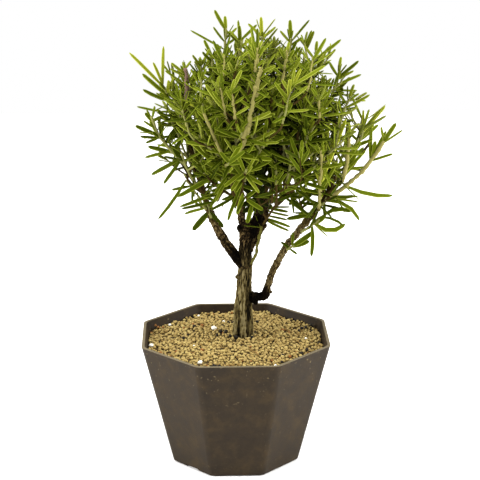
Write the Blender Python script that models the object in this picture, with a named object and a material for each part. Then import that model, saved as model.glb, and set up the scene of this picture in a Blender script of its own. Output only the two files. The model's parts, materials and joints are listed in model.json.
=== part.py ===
"""A rosemary bonsai in its octagonal plastic pot: pot, soil, trunk, boughs and masses of needle foliage.

Metres, +Z up. The origin is the centre of the pot's underside, and one side of the pot faces -Y.
"""
import math
import random

import bmesh
import bpy
import numpy
from mathutils import Matrix, Vector

# Pot: a tapered octagon of thin plastic
POT_SIDES = 8
RIM_FLATS = 0.120  # across the flats, outside
FOOT_FLATS = 0.0805
POT_HEIGHT = 0.0824
WALL = 0.0020
FLOOR = 0.0030
SIDE_ROUNDING = 0.0045  # of the upright edges
SHARP = 40  # degrees: gentler edges are shaded smooth
ROUNDING_SEGMENTS = 3
FOOT_ROUNDING = 0.0012
DRAIN_HOLES = 4
DRAIN_HOLE_RADIUS = 0.0035
DRAIN_HOLE_SIDES = 12
DRAIN_CIRCLE = 0.022  # radius that the holes stand on
CHANNEL_WIDTH = 0.0115
CHANNEL_DEPTH = 0.0019
CHANNEL_START = 0.016  # from the middle of the underside
CHANNEL_HEADINGS = (225, 45)

# Soil: a low lumpy mound, level where the trunk stands
GAP = 0.0003  # between neighbouring solids
SOIL_EDGE = 0.0771
SOIL_TOP = 0.0789
TRUNK_PATCH = 0.16  # share of the soil's width that is level
LUMP_SPACING = 0.0095  # from one lump's top to the next
LUMP_HEIGHT = 0.0013
LUMP_SWAY = 0.22  # of a lump's place and height, as a share of each
SOIL_SEED = 4

# Trunk
TRUNK_FOOT = Vector((0.0053, 0.0063, SOIL_TOP + GAP))
TRUNK_LENGTH = 0.0655
TRUNK_HEADING = (20, -10)  # degrees anticlockwise from +X, at the foot and at the fork
TRUNK_LEAN = (89.4, 87.0)  # climb in degrees, likewise
TRUNK_RADIUS = (0.0052, 0.0041)
FLARE = 0.0013  # added at the foot
FLARE_LENGTH = 0.030
ROOTS = 3  # lobes of the flare
ROOT_LOBE = 0.4
TRUNK_SIDES = 14
FLUTE = 0.10  # how far each second side sinks, as a share of the radius
TRUNK_STEP = 0.0055

# Boughs. along: where it leaves its parent, as a share of the parent's length. heading: degrees
# anticlockwise from +X, at the start and at the tip. climb: degrees above level, likewise, and ease
# bends it earlier where it is over 1.
LIMB_SIDES = 8
LIMB_STEP = 0.006
CLOSE = 0.015  # a bough that starts this near to another is cut clear of it
BOUGHS = {
    "right_leader": dict(
        parent="trunk", along=1.0,
        heading=(4, -2), climb=(60, 84), ease=1.4,
        length=0.029, radius=(0.0035, 0.0025),
    ),
    "centre_leader": dict(
        parent="trunk", along=0.93,
        heading=(172, 205), climb=(70, 88), ease=1.0,
        length=0.0262, radius=(0.0028, 0.0021),
    ),
    "left_bough": dict(
        parent="trunk", along=0.715,
        heading=(180, 172), climb=(44, 70), ease=1.5,
        length=0.0490, radius=(0.0034, 0.0024),
    ),
    "low_bough_foot": dict(
        parent="trunk", along=0.385,
        heading=(0, -4), climb=(-4, 22), ease=0.6,
        length=0.0150, radius=(0.0033, 0.0025),
    ),
    "low_bough": dict(
        parent="low_bough_foot", along=0.93,
        heading=(0, -5), climb=(82, 52), ease=2.2,
        length=0.0660, radius=(0.0022, 0.0016),
    ),
    "side_shoot": dict(
        parent="trunk", along=0.76,
        heading=(-8, -22), climb=(58, 76), ease=1.0,
        length=0.0250, radius=(0.0012, 0.0009),
    ),
    "back_left_bough": dict(
        parent="trunk", along=0.80,
        heading=(92, 104), climb=(30, 62), ease=1.0,
        length=0.0520, radius=(0.0026, 0.0017),
    ),
    "back_right_bough": dict(
        parent="trunk", along=0.86,
        heading=(52, 64), climb=(32, 60), ease=1.0,
        length=0.0500, radius=(0.0026, 0.0017),
    ),
}

# Crown: shoots run from the stems of the masses to points spread evenly over this rounded form
HEART = Vector((0.017, 0.0063, 0.213))
REACH_LEFT = 0.081
REACH_RIGHT = 0.074
REACH_FRONT = 0.074
REACH_BACK = 0.076
REACH_UP = 0.0755
REACH_DOWN = 0.064
LOW_SPREAD = 0.36  # how much further the crown reaches over the low bough
LOW_SPREAD_CLIMB = -13
LOW_SPREAD_POWER = 5  # higher keeps it to fewer shoots
LOWEST_SHOOT = -0.67  # vertical part of a shoot's direction from the heart
SHELLS = (
    dict(shoots=84, share=(0.88, 1.0)),  # share: how much of the reach a shoot takes up
    dict(shoots=28, share=(0.60, 0.78)),
)
SEED = 27

# Masses of foliage: each has one stem, which meets the tip of its bough
STEM_SHARE = 0.85  # of the bough's tip radius
STEM_TIP_RADIUS = 0.0008
STEM_SIDES = 5
STEM_STEP = 0.008
MASSES = {
    "top_foliage": dict(limb="centre_leader", heading=(150, 120), climb=(86, 84), length=0.080),
    "front_foliage": dict(limb="centre_leader", heading=(262, 272), climb=(30, 66), length=0.058),
    "right_top_foliage": dict(limb="right_leader", heading=(6, 10), climb=(72, 50), length=0.080),
    "right_front_foliage": dict(limb="side_shoot", heading=(-40, -56), climb=(52, 62), length=0.060),
    "left_foliage": dict(limb="left_bough", heading=(172, 160), climb=(74, 80), length=0.068),
    "right_low_foliage": dict(limb="low_bough", heading=(-4, -10), climb=(50, 56), length=0.056),
    "back_left_foliage": dict(limb="back_left_bough", heading=(104, 120), climb=(66, 78), length=0.052),
    "back_right_foliage": dict(limb="back_right_bough", heading=(62, 50), climb=(64, 74), length=0.050),
}
SPACE_MARGIN = 0.0012  # a leaf stays this much nearer to its own stem than to any other
LIMB_MARGIN = 0.0012
CROSSING = 0.0022  # shoots and needles pass no nearer than this
CHECKS = 8  # points along one that are tested
FOOT_SHARE = 0.3  # of a shoot or needle, by its foot, that isn't tested
DODGES = (0, 32, -32, 64)  # degrees that a needle turns round its shoot to find room

# Shoots and needles, fewer and larger than life
SHOOT_RADIUS = (0.0010, 0.0006)
SHOOT_STEPS = 2
SHOOT_RUNS = (0.048, 0.034, 0.060)  # how far below its tip a shoot starts, the usual length first
UPTURN = 0.7  # how far shoots turn up from pointing straight out
BOW = 0.08  # how far a shoot sags and bows outwards, as a share of its length
FIRST_SHOOT = 0.006  # from the foot of the stem
STARTS = 24  # places on a stem that a shoot may start from
LEAVES_A_SHOOT = 8
LEAF_LENGTH = 0.026
LEAF_WIDTH = 0.0050
LEAF_THICKNESS = 0.0010
WIDEST = 0.45  # how far along a needle is widest
TIP_ALLOWANCE = 0.62  # how far the last needles reach past their shoot, as a share of their length
LEAF_OPENING = (58, 24)  # degrees off the shoot, at its foot and at its tip
OPENING_EASE = 1.5  # higher keeps them open further along the shoot
OPENING_SWAY = 6  # degrees either way
TURN_SWAY = 14
FIRST_LEAF = 0.28  # share of the shoot below the first pair, and below the last
LAST_LEAF = 0.985
SHORT_LEAF = 0.78
LEAF_SUNK = 0.0004

MATERIALS = {
    "pot_plastic": dict(colour=(0.085, 0.066, 0.050), roughness=0.75),
    "akadama": dict(colour=(0.45, 0.33, 0.17), roughness=0.95),
    "old_bark": dict(colour=(0.12, 0.085, 0.055), roughness=0.9),
    "bough_bark": dict(colour=(0.16, 0.11, 0.075), roughness=0.85),
    "needles": dict(colour=(0.09, 0.17, 0.02), roughness=0.5),
}


def clear_scene():
    for obj in list(bpy.data.objects):
        bpy.data.objects.remove(obj)


def material(name):
    made = bpy.data.materials.get(name)
    if made is None:
        made = bpy.data.materials.new(name)
        made.use_nodes = True
        shader = made.node_tree.nodes["Principled BSDF"]
        shader.inputs["Base Color"].default_value = (*MATERIALS[name]["colour"], 1.0)
        shader.inputs["Roughness"].default_value = MATERIALS[name]["roughness"]
        shader.inputs["Metallic"].default_value = 0.0
    return made


def add_object(name, bm, finish, smooth=True):
    """Puts a finished bmesh into the scene as one object."""
    bmesh.ops.recalc_face_normals(bm, faces=bm.faces)
    mesh = bpy.data.meshes.new(name)
    bm.to_mesh(mesh)
    bm.free()
    if smooth:
        mesh.shade_smooth()
        mesh.set_sharp_from_angle(angle=math.radians(SHARP))
    mesh.materials.append(material(finish))
    obj = bpy.data.objects.new(name, mesh)
    bpy.context.scene.collection.objects.link(obj)
    return obj


def apply_boolean(obj, operation, cutters, solver="EXACT"):
    """Joins or cuts obj with every object in the list at once, and removes them."""
    group = bpy.data.collections.new(obj.name + "_group")
    bpy.context.scene.collection.children.link(group)
    for cutter in cutters:
        group.objects.link(cutter)
    modifier = obj.modifiers.new(operation.lower(), "BOOLEAN")
    modifier.operation = operation
    modifier.solver = solver
    modifier.operand_type = "COLLECTION"
    modifier.collection = group
    graph = bpy.context.evaluated_depsgraph_get()
    graph.update()
    result = bpy.data.meshes.new_from_object(obj.evaluated_get(graph))
    obj.modifiers.remove(modifier)
    obj.data = result
    for cutter in cutters:
        bpy.data.objects.remove(cutter)
    bpy.data.collections.remove(group)


def keep_main_body(obj):
    """Drops loose scraps, and the inner skin of any hollow that joining has sealed."""
    bm = bmesh.new()
    bm.from_mesh(obj.data)
    left = set(bm.faces)
    bodies = []
    while left:
        body, edge_of_body = set(), [left.pop()]
        while edge_of_body:
            face = edge_of_body.pop()
            body.add(face)
            near = {other for edge in face.edges for other in edge.link_faces} & left
            left -= near
            edge_of_body += near
        bodies.append(body)
    bodies.sort(key=len)
    for body in bodies[:-1]:
        bmesh.ops.delete(bm, geom=list(body), context="FACES")
    bm.to_mesh(obj.data)
    bm.free()


# Pot and soil


def flats_at(z):
    """The pot's outside width across the flats at a height."""
    return FOOT_FLATS + (RIM_FLATS - FOOT_FLATS) * z / POT_HEIGHT


def octagon_face(bm, flats, z):
    """A level octagon with rounded corners, one side facing -Y."""
    half_turn = math.pi / POT_SIDES
    place = Matrix.Translation((0, 0, z)) @ Matrix.Rotation(half_turn, 4, "Z")
    ring = bmesh.ops.create_circle(
        bm, cap_ends=True, segments=POT_SIDES, radius=flats / 2 / math.cos(half_turn), matrix=place
    )
    bmesh.ops.bevel(
        bm,
        geom=ring["verts"],
        offset=SIDE_ROUNDING * math.tan(half_turn),
        offset_type="OFFSET",
        affect="VERTICES",
        segments=ROUNDING_SEGMENTS,
        profile=0.5,
        material=-1,
    )
    bm.faces.ensure_lookup_table()
    return bm.faces[-1]


def raise_face(bm, face, z, scale, about=(0, 0)):
    """Extrudes a level face to a new height, scaled about a point."""
    alone = all(len(edge.link_faces) == 1 for edge in face.edges)
    extruded = bmesh.ops.extrude_face_region(bm, geom=[face])["geom"]
    made = next(item for item in extruded if isinstance(item, bmesh.types.BMFace))
    if not alone:
        bm.faces.remove(face)
    for vert in made.verts:
        vert.co.x = about[0] + (vert.co.x - about[0]) * scale
        vert.co.y = about[1] + (vert.co.y - about[1]) * scale
        vert.co.z = z
    return made


def cutter_object(name, bm):
    obj = add_object(name, bm, "pot_plastic", smooth=False)
    obj.hide_render = True
    obj.display_type = "WIRE"
    return obj


def make_pot():
    bm = bmesh.new()
    face = octagon_face(bm, flats_at(0) - 2 * FOOT_ROUNDING, 0)
    grow = flats_at(FOOT_ROUNDING) / (flats_at(0) - 2 * FOOT_ROUNDING)
    face = raise_face(bm, face, FOOT_ROUNDING, grow)
    face = raise_face(bm, face, POT_HEIGHT, RIM_FLATS / flats_at(FOOT_ROUNDING))
    face = raise_face(bm, face, POT_HEIGHT, (RIM_FLATS - 2 * WALL) / RIM_FLATS)
    raise_face(bm, face, FLOOR, (flats_at(FLOOR) - 2 * WALL) / (RIM_FLATS - 2 * WALL))
    pot = add_object("pot", bm, "pot_plastic")
    cutters = []
    for i in range(DRAIN_HOLES):
        turn = 2 * math.pi * (i + 0.5) / DRAIN_HOLES
        hole = bmesh.new()
        centre = Vector((math.cos(turn), math.sin(turn), 0)) * DRAIN_CIRCLE
        bmesh.ops.create_cone(
            hole,
            cap_ends=True,
            segments=DRAIN_HOLE_SIDES,
            radius1=DRAIN_HOLE_RADIUS,
            radius2=DRAIN_HOLE_RADIUS,
            depth=4 * FLOOR,
            matrix=Matrix.Translation(centre),
        )
        cutters.append(cutter_object(f"drain_hole_{i}", hole))
    for i, heading in enumerate(CHANNEL_HEADINGS):
        channel = bmesh.new()
        length = FOOT_FLATS / 2
        size = Matrix.Diagonal((length, CHANNEL_WIDTH, 2 * CHANNEL_DEPTH, 1))
        out = Matrix.Translation((CHANNEL_START + length / 2, 0, 0))
        turned = Matrix.Rotation(math.radians(heading), 4, "Z")
        bmesh.ops.create_cube(channel, size=1, matrix=turned @ out @ size)
        cutters.append(cutter_object(f"channel_{i}", channel))
    apply_boolean(pot, "DIFFERENCE", cutters)


def mound_height(x, y):
    """The soil's height without its lumps."""
    away = math.hypot(x - TRUNK_FOOT.x, y - TRUNK_FOOT.y) / (flats_at(SOIL_EDGE) / 2)
    share = min(max((1 - away) / (1 - TRUNK_PATCH), 0), 1)
    return SOIL_EDGE + (SOIL_TOP - SOIL_EDGE) * math.sin(share * math.pi / 2)


def lumpy_block():
    """A block with the soil's top: every second corner is a lump's top and the others lie between lumps."""
    chance = random.Random(SOIL_SEED)
    bm = bmesh.new()
    step = LUMP_SPACING / math.sqrt(2)
    cells = 2 * math.ceil(RIM_FLATS / 2 / step + 1)
    place = Matrix.Translation((TRUNK_FOOT.x, TRUNK_FOOT.y, 0))
    bmesh.ops.create_grid(bm, x_segments=cells, y_segments=cells, size=cells * step / 2, matrix=place)
    raised = bmesh.ops.extrude_face_region(bm, geom=bm.faces[:])["geom"]
    for vert in (item for item in raised if isinstance(item, bmesh.types.BMVert)):
        vert.co.z = SOIL_TOP
        column = round((vert.co.x - TRUNK_FOOT.x) / step)
        row = round((vert.co.y - TRUNK_FOOT.y) / step)
        if max(abs(column), abs(row)) > 1:
            vert.co.x += step * chance.uniform(-LUMP_SWAY, LUMP_SWAY)
            vert.co.y += step * chance.uniform(-LUMP_SWAY, LUMP_SWAY)
            vert.co.z = mound_height(vert.co.x, vert.co.y)
            if (column + row) % 2:
                vert.co.z -= LUMP_HEIGHT * chance.uniform(1 - LUMP_SWAY, 1 + LUMP_SWAY)
    bmesh.ops.triangulate(bm, faces=bm.faces[:])
    return bm


def make_soil():
    bm = bmesh.new()
    bottom = FLOOR + GAP
    top = SOIL_TOP + LUMP_HEIGHT
    inner = 2 * (WALL + GAP)
    face = octagon_face(bm, flats_at(bottom) - inner, bottom)
    raise_face(bm, face, top, (flats_at(top) - inner) / (flats_at(bottom) - inner))
    soil = add_object("soil", bm, "akadama")
    apply_boolean(soil, "INTERSECT", [cutter_object("lumps", lumpy_block())])


# Trunk and boughs


def direction(heading, climb):
    heading, climb = math.radians(heading), math.radians(climb)
    level = math.cos(climb)
    return Vector((math.cos(heading) * level, math.sin(heading) * level, math.sin(climb)))


def blend(pair, share):
    return pair[0] + (pair[1] - pair[0]) * share


def limb_path(start, heading, climb, length, step, ease=1.0):
    """Points along a limb that turns steadily from its first heading and climb to its last."""
    count = max(3, round(length / step))
    points = [start.copy()]
    for i in range(count):
        share = (i + 0.5) / count
        rise = climb[1] + (climb[0] - climb[1]) * (1 - share) ** ease
        points.append(points[-1] + direction(blend(heading, share), rise) * (length / count))
    return points


def point_at(points, share):
    """The point at a share of the way along evenly spaced points."""
    place = min(max(share, 0.0), 1.0) * (len(points) - 1)
    i = min(int(place), len(points) - 2)
    return points[i].lerp(points[i + 1], place - i)


def tube(points, radii, sides, grow=0.0, shape=None):
    """A closed tube along points. shape(share, angle) scales the radius.

    grow is added all round and at both ends.
    """
    bm = bmesh.new()
    points = [p.copy() for p in points]
    points[0] -= (points[1] - points[0]).normalized() * grow
    points[-1] += (points[-1] - points[-2]).normalized() * grow
    rings = []
    across = None
    for i, point in enumerate(points):
        share = i / (len(points) - 1)
        along = (points[min(i + 1, len(points) - 1)] - points[max(i - 1, 0)]).normalized()
        across = across or along.orthogonal()
        across = (across - along * across.dot(along)).normalized()
        third = along.cross(across)
        ring = []
        for k in range(sides):
            angle = 2 * math.pi * k / sides
            radius = blend(radii, share) * (shape(share, angle) if shape else 1.0) + grow
            out = across * math.cos(angle) + third * math.sin(angle)
            ring.append(bm.verts.new(point + out * radius))
        rings.append(ring)
    for low, high in zip(rings, rings[1:]):
        for k in range(sides):
            bm.faces.new((low[k], low[k - 1], high[k - 1], high[k]))
    bm.faces.new(rings[0])
    bm.faces.new(reversed(rings[-1]))
    return bm


def trunk_shape(share, angle):
    """Flutes all the way up, and roots that flare at the foot."""
    flute = 1 - FLUTE * (0.5 + 0.5 * math.cos(angle * TRUNK_SIDES / 2))
    flare = math.exp(-((share * TRUNK_LENGTH / FLARE_LENGTH) ** 2))
    spread = 1 + FLARE / TRUNK_RADIUS[0] * flare * (1 + ROOT_LOBE * math.cos(ROOTS * angle))
    return flute * spread


def limb_tube(name, limbs, grow=0.0):
    limb = limbs[name]
    return tube(limb["points"], limb["radius"], limb["sides"], grow, limb.get("shape"))


def lay_out_limbs():
    """The path of the trunk and of each bough."""
    limbs = {
        "trunk": dict(
            points=limb_path(TRUNK_FOOT, TRUNK_HEADING, TRUNK_LEAN, TRUNK_LENGTH, TRUNK_STEP),
            radius=TRUNK_RADIUS,
            sides=TRUNK_SIDES,
            shape=trunk_shape,
            parent=None,
        )
    }
    for name, bough in BOUGHS.items():
        start = point_at(limbs[bough["parent"]]["points"], bough["along"])
        turns = (bough["heading"], bough["climb"], bough["length"])
        points = limb_path(start, *turns, LIMB_STEP, bough["ease"])
        limbs[name] = dict(points=points, radius=bough["radius"], sides=LIMB_SIDES, parent=bough["parent"])
    return limbs


def make_limbs(limbs):
    """Each bough starts clear of its parent and of the boughs beside it by the gap."""
    names = list(limbs)
    for i, name in enumerate(names):
        obj = add_object(name, limb_tube(name, limbs), "old_bark" if name == "trunk" else "bough_bark")
        start = limbs[name]["points"][0]
        near = [other for other in names[:i] if nearest(start, limbs[other]["points"]) < CLOSE]
        cutters = [cutter_object(other + "_cutter", limb_tube(other, limbs, GAP)) for other in near]
        if cutters:
            apply_boolean(obj, "DIFFERENCE", cutters)


# Foliage


def nearest(point, points):
    """Distance from a point to a path."""
    best = 1e9
    for a, b in zip(points, points[1:]):
        run = b - a
        share = min(max((point - a).dot(run) / run.length_squared, 0.0), 1.0)
        best = min(best, (a + run * share - point).length)
    return best


def reach(towards):
    """How far the crown reaches from its heart in a direction."""
    side = REACH_RIGHT if towards.x > 0 else REACH_LEFT
    depth = REACH_BACK if towards.y > 0 else REACH_FRONT
    rise = REACH_UP if towards.z > 0 else REACH_DOWN
    plain = 1 / math.sqrt((towards.x / side) ** 2 + (towards.y / depth) ** 2 + (towards.z / rise) ** 2)
    low = max(0.0, towards.dot(direction(0, LOW_SPREAD_CLIMB))) ** LOW_SPREAD_POWER
    return plain * (1 + LOW_SPREAD * low)


def lay_out_stems(limbs):
    """The stem of each mass, from the tip of its bough."""
    stems = {}
    for name, mass in MASSES.items():
        tip = limbs[mass["limb"]]["points"][-1]
        stems[name] = limb_path(tip, mass["heading"], mass["climb"], mass["length"], STEM_STEP)
    return stems


def in_own_space(name, points, stems, limbs):
    """True if every point is nearest to this mass's own stem and clear of every limb."""
    for point in points:
        own = nearest(point, stems[name])
        for other, stem in stems.items():
            if other != name and nearest(point, stem) < own + SPACE_MARGIN:
                return False
        for limb in limbs.values():
            if nearest(point, limb["points"]) < limb["radius"][0] + LIMB_MARGIN:
                return False
    return True


def spread_directions(count):
    """Directions spread evenly over a sphere, by the golden angle."""
    for i in range(count):
        height = 1 - 2 * (i + 0.5) / count
        turn = i * math.pi * (3 - math.sqrt(5))
        flat = math.sqrt(1 - height * height)
        yield Vector((flat * math.cos(turn), flat * math.sin(turn), height))


def shoot_path(tip, outwards, stem, usual_run):
    """A shoot leaves its stem low, and bows out and up to its tip."""
    growth = (outwards + Vector((0, 0, UPTURN))).normalized()
    aim = tip - growth * usual_run
    length = (stem[1] - stem[0]).length * (len(stem) - 1)
    shares = [blend((FIRST_SHOOT / length, 1.0), i / STARTS) for i in range(STARTS + 1)]
    start = min((point_at(stem, share) for share in shares), key=lambda point: (point - aim).length)
    run = tip - start
    bow = start.lerp(tip, 0.5) + (outwards - Vector((0, 0, 0.5))) * run.length * BOW
    points = []
    for i in range(SHOOT_STEPS + 1):
        s = i / SHOOT_STEPS
        points.append(start * (1 - s) ** 2 + bow * 2 * s * (1 - s) + tip * s * s)
    return points


def leaf(root, towards, face_up, length):
    """A needle with a ridged back and a flat underside, pointed at its tip and at the root in its shoot."""
    side = towards.cross(face_up).normalized()
    up = side.cross(towards).normalized()
    bm = bmesh.new()
    middle = root + towards * length * WIDEST
    base = bm.verts.new(root)
    tip = bm.verts.new(root + towards * length)
    ring = [
        bm.verts.new(middle + side * LEAF_WIDTH / 2),
        bm.verts.new(middle + up * LEAF_THICKNESS),
        bm.verts.new(middle - side * LEAF_WIDTH / 2),
    ]
    for a, b in zip(ring, ring[1:] + ring[:1]):
        bm.faces.new((base, a, b))
        bm.faces.new((tip, b, a))
    return bm


def shoot_leaves(points, chance):
    """Needles in opposite pairs, each pair turned a quarter from the last.

    Each is given as the places that it may take, best first, as (root, direction, upper side, length).
    """
    pairs = LEAVES_A_SHOOT // 2
    turn = chance.uniform(0, math.pi)
    for i in range(pairs):
        share = FIRST_LEAF + (LAST_LEAF - FIRST_LEAF) * i / (pairs - 1)
        root = point_at(points, share)
        along = (point_at(points, share + 0.02) - point_at(points, share - 0.05)).normalized()
        across = along.orthogonal().normalized()
        opening = blend(LEAF_OPENING, (i / (pairs - 1)) ** OPENING_EASE)
        opening = math.radians(opening + chance.uniform(-OPENING_SWAY, OPENING_SWAY))
        for half in range(2):
            sway = math.radians(chance.uniform(-TURN_SWAY, TURN_SWAY))
            angle = turn + i * math.pi / 2 + half * math.pi + sway
            length = LEAF_LENGTH * chance.uniform(SHORT_LEAF, 1.0)
            tries = []
            for dodge in DODGES:
                out = Matrix.Rotation(angle + math.radians(dodge), 3, along) @ across
                towards = (along * math.cos(opening) + out * math.sin(opening)).normalized()
                tries.append((root - towards * LEAF_SUNK, towards, along, length))
            yield tries


def leaf_corners(root, towards, face_up, length):
    """Points round a needle, to test it by."""
    middle = root + towards * length * WIDEST
    side = towards.cross(face_up).normalized() * LEAF_WIDTH / 2
    return [middle + side, middle - side, root + towards * length * 0.75, root + towards * length]


class Taken:
    """Where shoots and needles already are, as points along them, so that later ones don't cross them."""

    def __init__(self):
        self.points = []

    def along(self, start, end):
        shares = [FOOT_SHARE + (1 - FOOT_SHARE) * i / (CHECKS - 1) for i in range(CHECKS)]
        return numpy.array([start.lerp(end, share) for share in shares])

    def free(self, start, end):
        if not self.points:
            return True
        gaps = numpy.array(self.points)[:, None, :] - self.along(start, end)[None]
        return float((gaps**2).sum(axis=2).min()) > CROSSING**2

    def add(self, start, end):
        self.points.extend(self.along(start, end))


def grow_shoots(stems, limbs):
    """The shoots of each mass, with the needles that stay in its space."""
    chance = random.Random(SEED)
    shoots = {name: [] for name in stems}
    taken = Taken()
    for shell in SHELLS:
        for outwards in spread_directions(shell["shoots"]):
            share = chance.uniform(*shell["share"])
            seed = chance.random()
            if outwards.z < LOWEST_SHOOT:
                continue
            tip = HEART + outwards * (reach(outwards) * share - LEAF_LENGTH * TIP_ALLOWANCE)
            nearby = sorted(stems, key=lambda n: nearest(tip, stems[n]))[:2]
            for name, run in ((name, run) for name in nearby for run in SHOOT_RUNS):
                points = shoot_path(tip, outwards, stems[name], run)
                if in_own_space(name, points[1:], stems, limbs) and taken.free(points[0], points[-1]):
                    taken.add(points[0], points[-1])
                    shoots[name].append((points, seed, []))
                    break
    for name in stems:
        for points, seed, kept in shoots[name]:
            for tries in shoot_leaves(points, random.Random(seed)):
                for spec in tries:
                    root, towards, _, length = spec
                    tip = root + towards * length
                    if taken.free(root, tip) and in_own_space(name, leaf_corners(*spec), stems, limbs):
                        taken.add(root, tip)
                        kept.append(spec)
                        break
    return shoots


def make_mass(name, stems, shoots, limbs):
    """Joins the stem, its shoots and their needles, with the stem cut clear of the bough it grows from."""
    own_limb = MASSES[name]["limb"]
    radius = (limbs[own_limb]["radius"][1] * STEM_SHARE, STEM_TIP_RADIUS)
    obj = add_object(name, tube(stems[name], radius, STEM_SIDES), "needles", smooth=False)
    cutters = [cutter_object(own_limb + "_cutter", limb_tube(own_limb, limbs, GAP))]
    for other in list(MASSES)[: list(MASSES).index(name)]:
        if MASSES[other]["limb"] == own_limb:
            cutters.append(cutter_object(other + "_cutter", tube(stems[other], radius, STEM_SIDES, GAP)))
    apply_boolean(obj, "DIFFERENCE", cutters)
    parts = []
    for points, _, leaves in shoots:
        parts.append(add_object(name + "_shoot", tube(points, SHOOT_RADIUS, 3), "needles", smooth=False))
        for spec in leaves:
            parts.append(add_object(name + "_leaf", leaf(*spec), "needles", smooth=False))
    apply_boolean(obj, "UNION", parts, solver="MANIFOLD")
    keep_main_body(obj)


def main():
    clear_scene()
    make_pot()
    make_soil()
    limbs = lay_out_limbs()
    make_limbs(limbs)
    stems = lay_out_stems(limbs)
    shoots = grow_shoots(stems, limbs)
    for name in MASSES:
        make_mass(name, stems, shoots[name], limbs)


main()
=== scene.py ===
import json
import math
import random

import bmesh
import bpy
import numpy as np
from mathutils import Euler, Matrix, Vector, noise
from mathutils.bvhtree import BVHTree

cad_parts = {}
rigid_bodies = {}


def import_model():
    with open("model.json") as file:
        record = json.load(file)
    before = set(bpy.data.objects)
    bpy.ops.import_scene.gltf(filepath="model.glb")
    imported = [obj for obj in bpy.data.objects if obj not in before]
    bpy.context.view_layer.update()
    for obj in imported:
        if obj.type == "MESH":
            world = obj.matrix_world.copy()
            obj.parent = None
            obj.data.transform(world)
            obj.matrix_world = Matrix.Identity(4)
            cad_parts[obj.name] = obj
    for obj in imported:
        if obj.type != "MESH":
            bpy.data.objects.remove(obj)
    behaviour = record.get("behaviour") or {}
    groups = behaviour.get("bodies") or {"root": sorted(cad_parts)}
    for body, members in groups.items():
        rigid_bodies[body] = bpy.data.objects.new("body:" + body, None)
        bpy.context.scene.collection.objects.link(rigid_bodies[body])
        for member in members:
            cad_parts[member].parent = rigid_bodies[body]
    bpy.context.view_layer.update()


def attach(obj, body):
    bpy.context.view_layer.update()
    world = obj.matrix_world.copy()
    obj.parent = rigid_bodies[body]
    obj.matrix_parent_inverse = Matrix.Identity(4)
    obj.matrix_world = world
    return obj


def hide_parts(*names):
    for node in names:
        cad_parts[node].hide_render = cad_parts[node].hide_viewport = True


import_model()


# ---- helpers that every piece uses


def linear(hexText):
    channels = [int(hexText[i:i + 2], 16) / 255 for i in (1, 3, 5)]
    return [c / 12.92 if c <= 0.04045 else ((c + 0.055) / 1.055) ** 2.4 for c in channels] + [1.0]


def addNode(tree, kind, settings={}, links={}):
    node = tree.nodes.new("ShaderNode" + kind)
    for name, value in settings.items():
        if name == "stops":  # of a colour ramp: (place, hex colour) or (place, grey level)
            elements = node.color_ramp.elements
            while len(elements) > 1:
                elements.remove(elements[-1])
            for i, (place, shade) in enumerate(value):
                element = elements[0] if i == 0 else elements.new(place)
                element.position = place
                element.color = linear(shade) if isinstance(shade, str) else (shade, shade, shade, 1)
        elif isinstance(name, str) and hasattr(node, name):
            setattr(node, name, value)
        else:
            node.inputs[name].default_value = value
    for name, output in links.items():
        tree.links.new(output, node.inputs[name])
    return node


def newMaterial(name, roughness, colour=None, ior=1.5):
    made = bpy.data.materials.new(name)
    made.use_nodes = True
    shader = made.node_tree.nodes["Principled BSDF"]
    shader.inputs["Roughness"].default_value = roughness
    shader.inputs["IOR"].default_value = ior
    if colour:
        shader.inputs["Base Color"].default_value = linear(colour)
        made.diffuse_color = linear(colour)
    return made, made.node_tree, shader


def fineRelief(tree, shader, scale, detail, strength, distance):
    # the pores or down that roughen a whole surface
    place = addNode(tree, "TexCoord").outputs["Object"]
    fine = addNode(tree, "TexNoise", {"Scale": scale, "Detail": detail}, {"Vector": place})
    bump = addNode(tree, "Bump", {"Strength": strength, "Distance": distance}, {"Height": fine.outputs["Fac"]})
    tree.links.new(bump.outputs["Normal"], shader.inputs["Normal"])


def addPiece(name, mesh, materials, replaces=()):
    for made in materials:
        mesh.materials.append(made)
    piece = bpy.data.objects.new(name, mesh)
    bpy.context.scene.collection.objects.link(piece)
    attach(piece, "root")
    if replaces:
        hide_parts(*replaces)
    return piece


def meshOf(bm, name):
    mesh = bpy.data.meshes.new(name)
    bm.to_mesh(mesh)
    bm.free()
    return mesh


def meshFromArrays(name, points, triangles, slots=None):
    mesh = bpy.data.meshes.new(name)
    mesh.vertices.add(len(points))
    mesh.vertices.foreach_set("co", np.asarray(points, np.float32).ravel())
    mesh.loops.add(triangles.size)
    mesh.loops.foreach_set("vertex_index", triangles.astype(np.int32).ravel())
    mesh.polygons.add(len(triangles))
    mesh.polygons.foreach_set("loop_start", np.arange(0, triangles.size, 3, dtype=np.int32))
    mesh.polygons.foreach_set("use_smooth", np.ones(len(triangles), bool))
    if slots is not None:
        mesh.polygons.foreach_set("material_index", slots.astype(np.int32))
    mesh.update(calc_edges=True)
    return mesh


def arraysOf(bm):
    bmesh.ops.triangulate(bm, faces=bm.faces[:])
    points = np.array([v.co for v in bm.verts])
    triangles = np.array([[v.index for v in f.verts] for f in bm.faces])
    slots = np.array([f.material_index for f in bm.faces])
    bm.free()
    return points, triangles, slots


def joined(parts):
    # points and faces of all parts in one array each
    starts = np.cumsum([0] + [len(points) for points, _ in parts])
    return np.concatenate([p for p, _ in parts]), np.concatenate([f + at for (_, f), at in zip(parts, starts)])


def applied(obj):
    # the object's mesh with its modifiers applied, and the object itself removed
    graph = bpy.context.evaluated_depsgraph_get()
    graph.update()
    mesh = bpy.data.meshes.new_from_object(obj.evaluated_get(graph))
    bpy.data.objects.remove(obj)
    return mesh


def towards(heading, climb):
    heading, climb = math.radians(heading), math.radians(climb)
    return Vector((math.cos(heading) * math.cos(climb), math.sin(heading) * math.cos(climb), math.sin(climb)))


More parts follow.
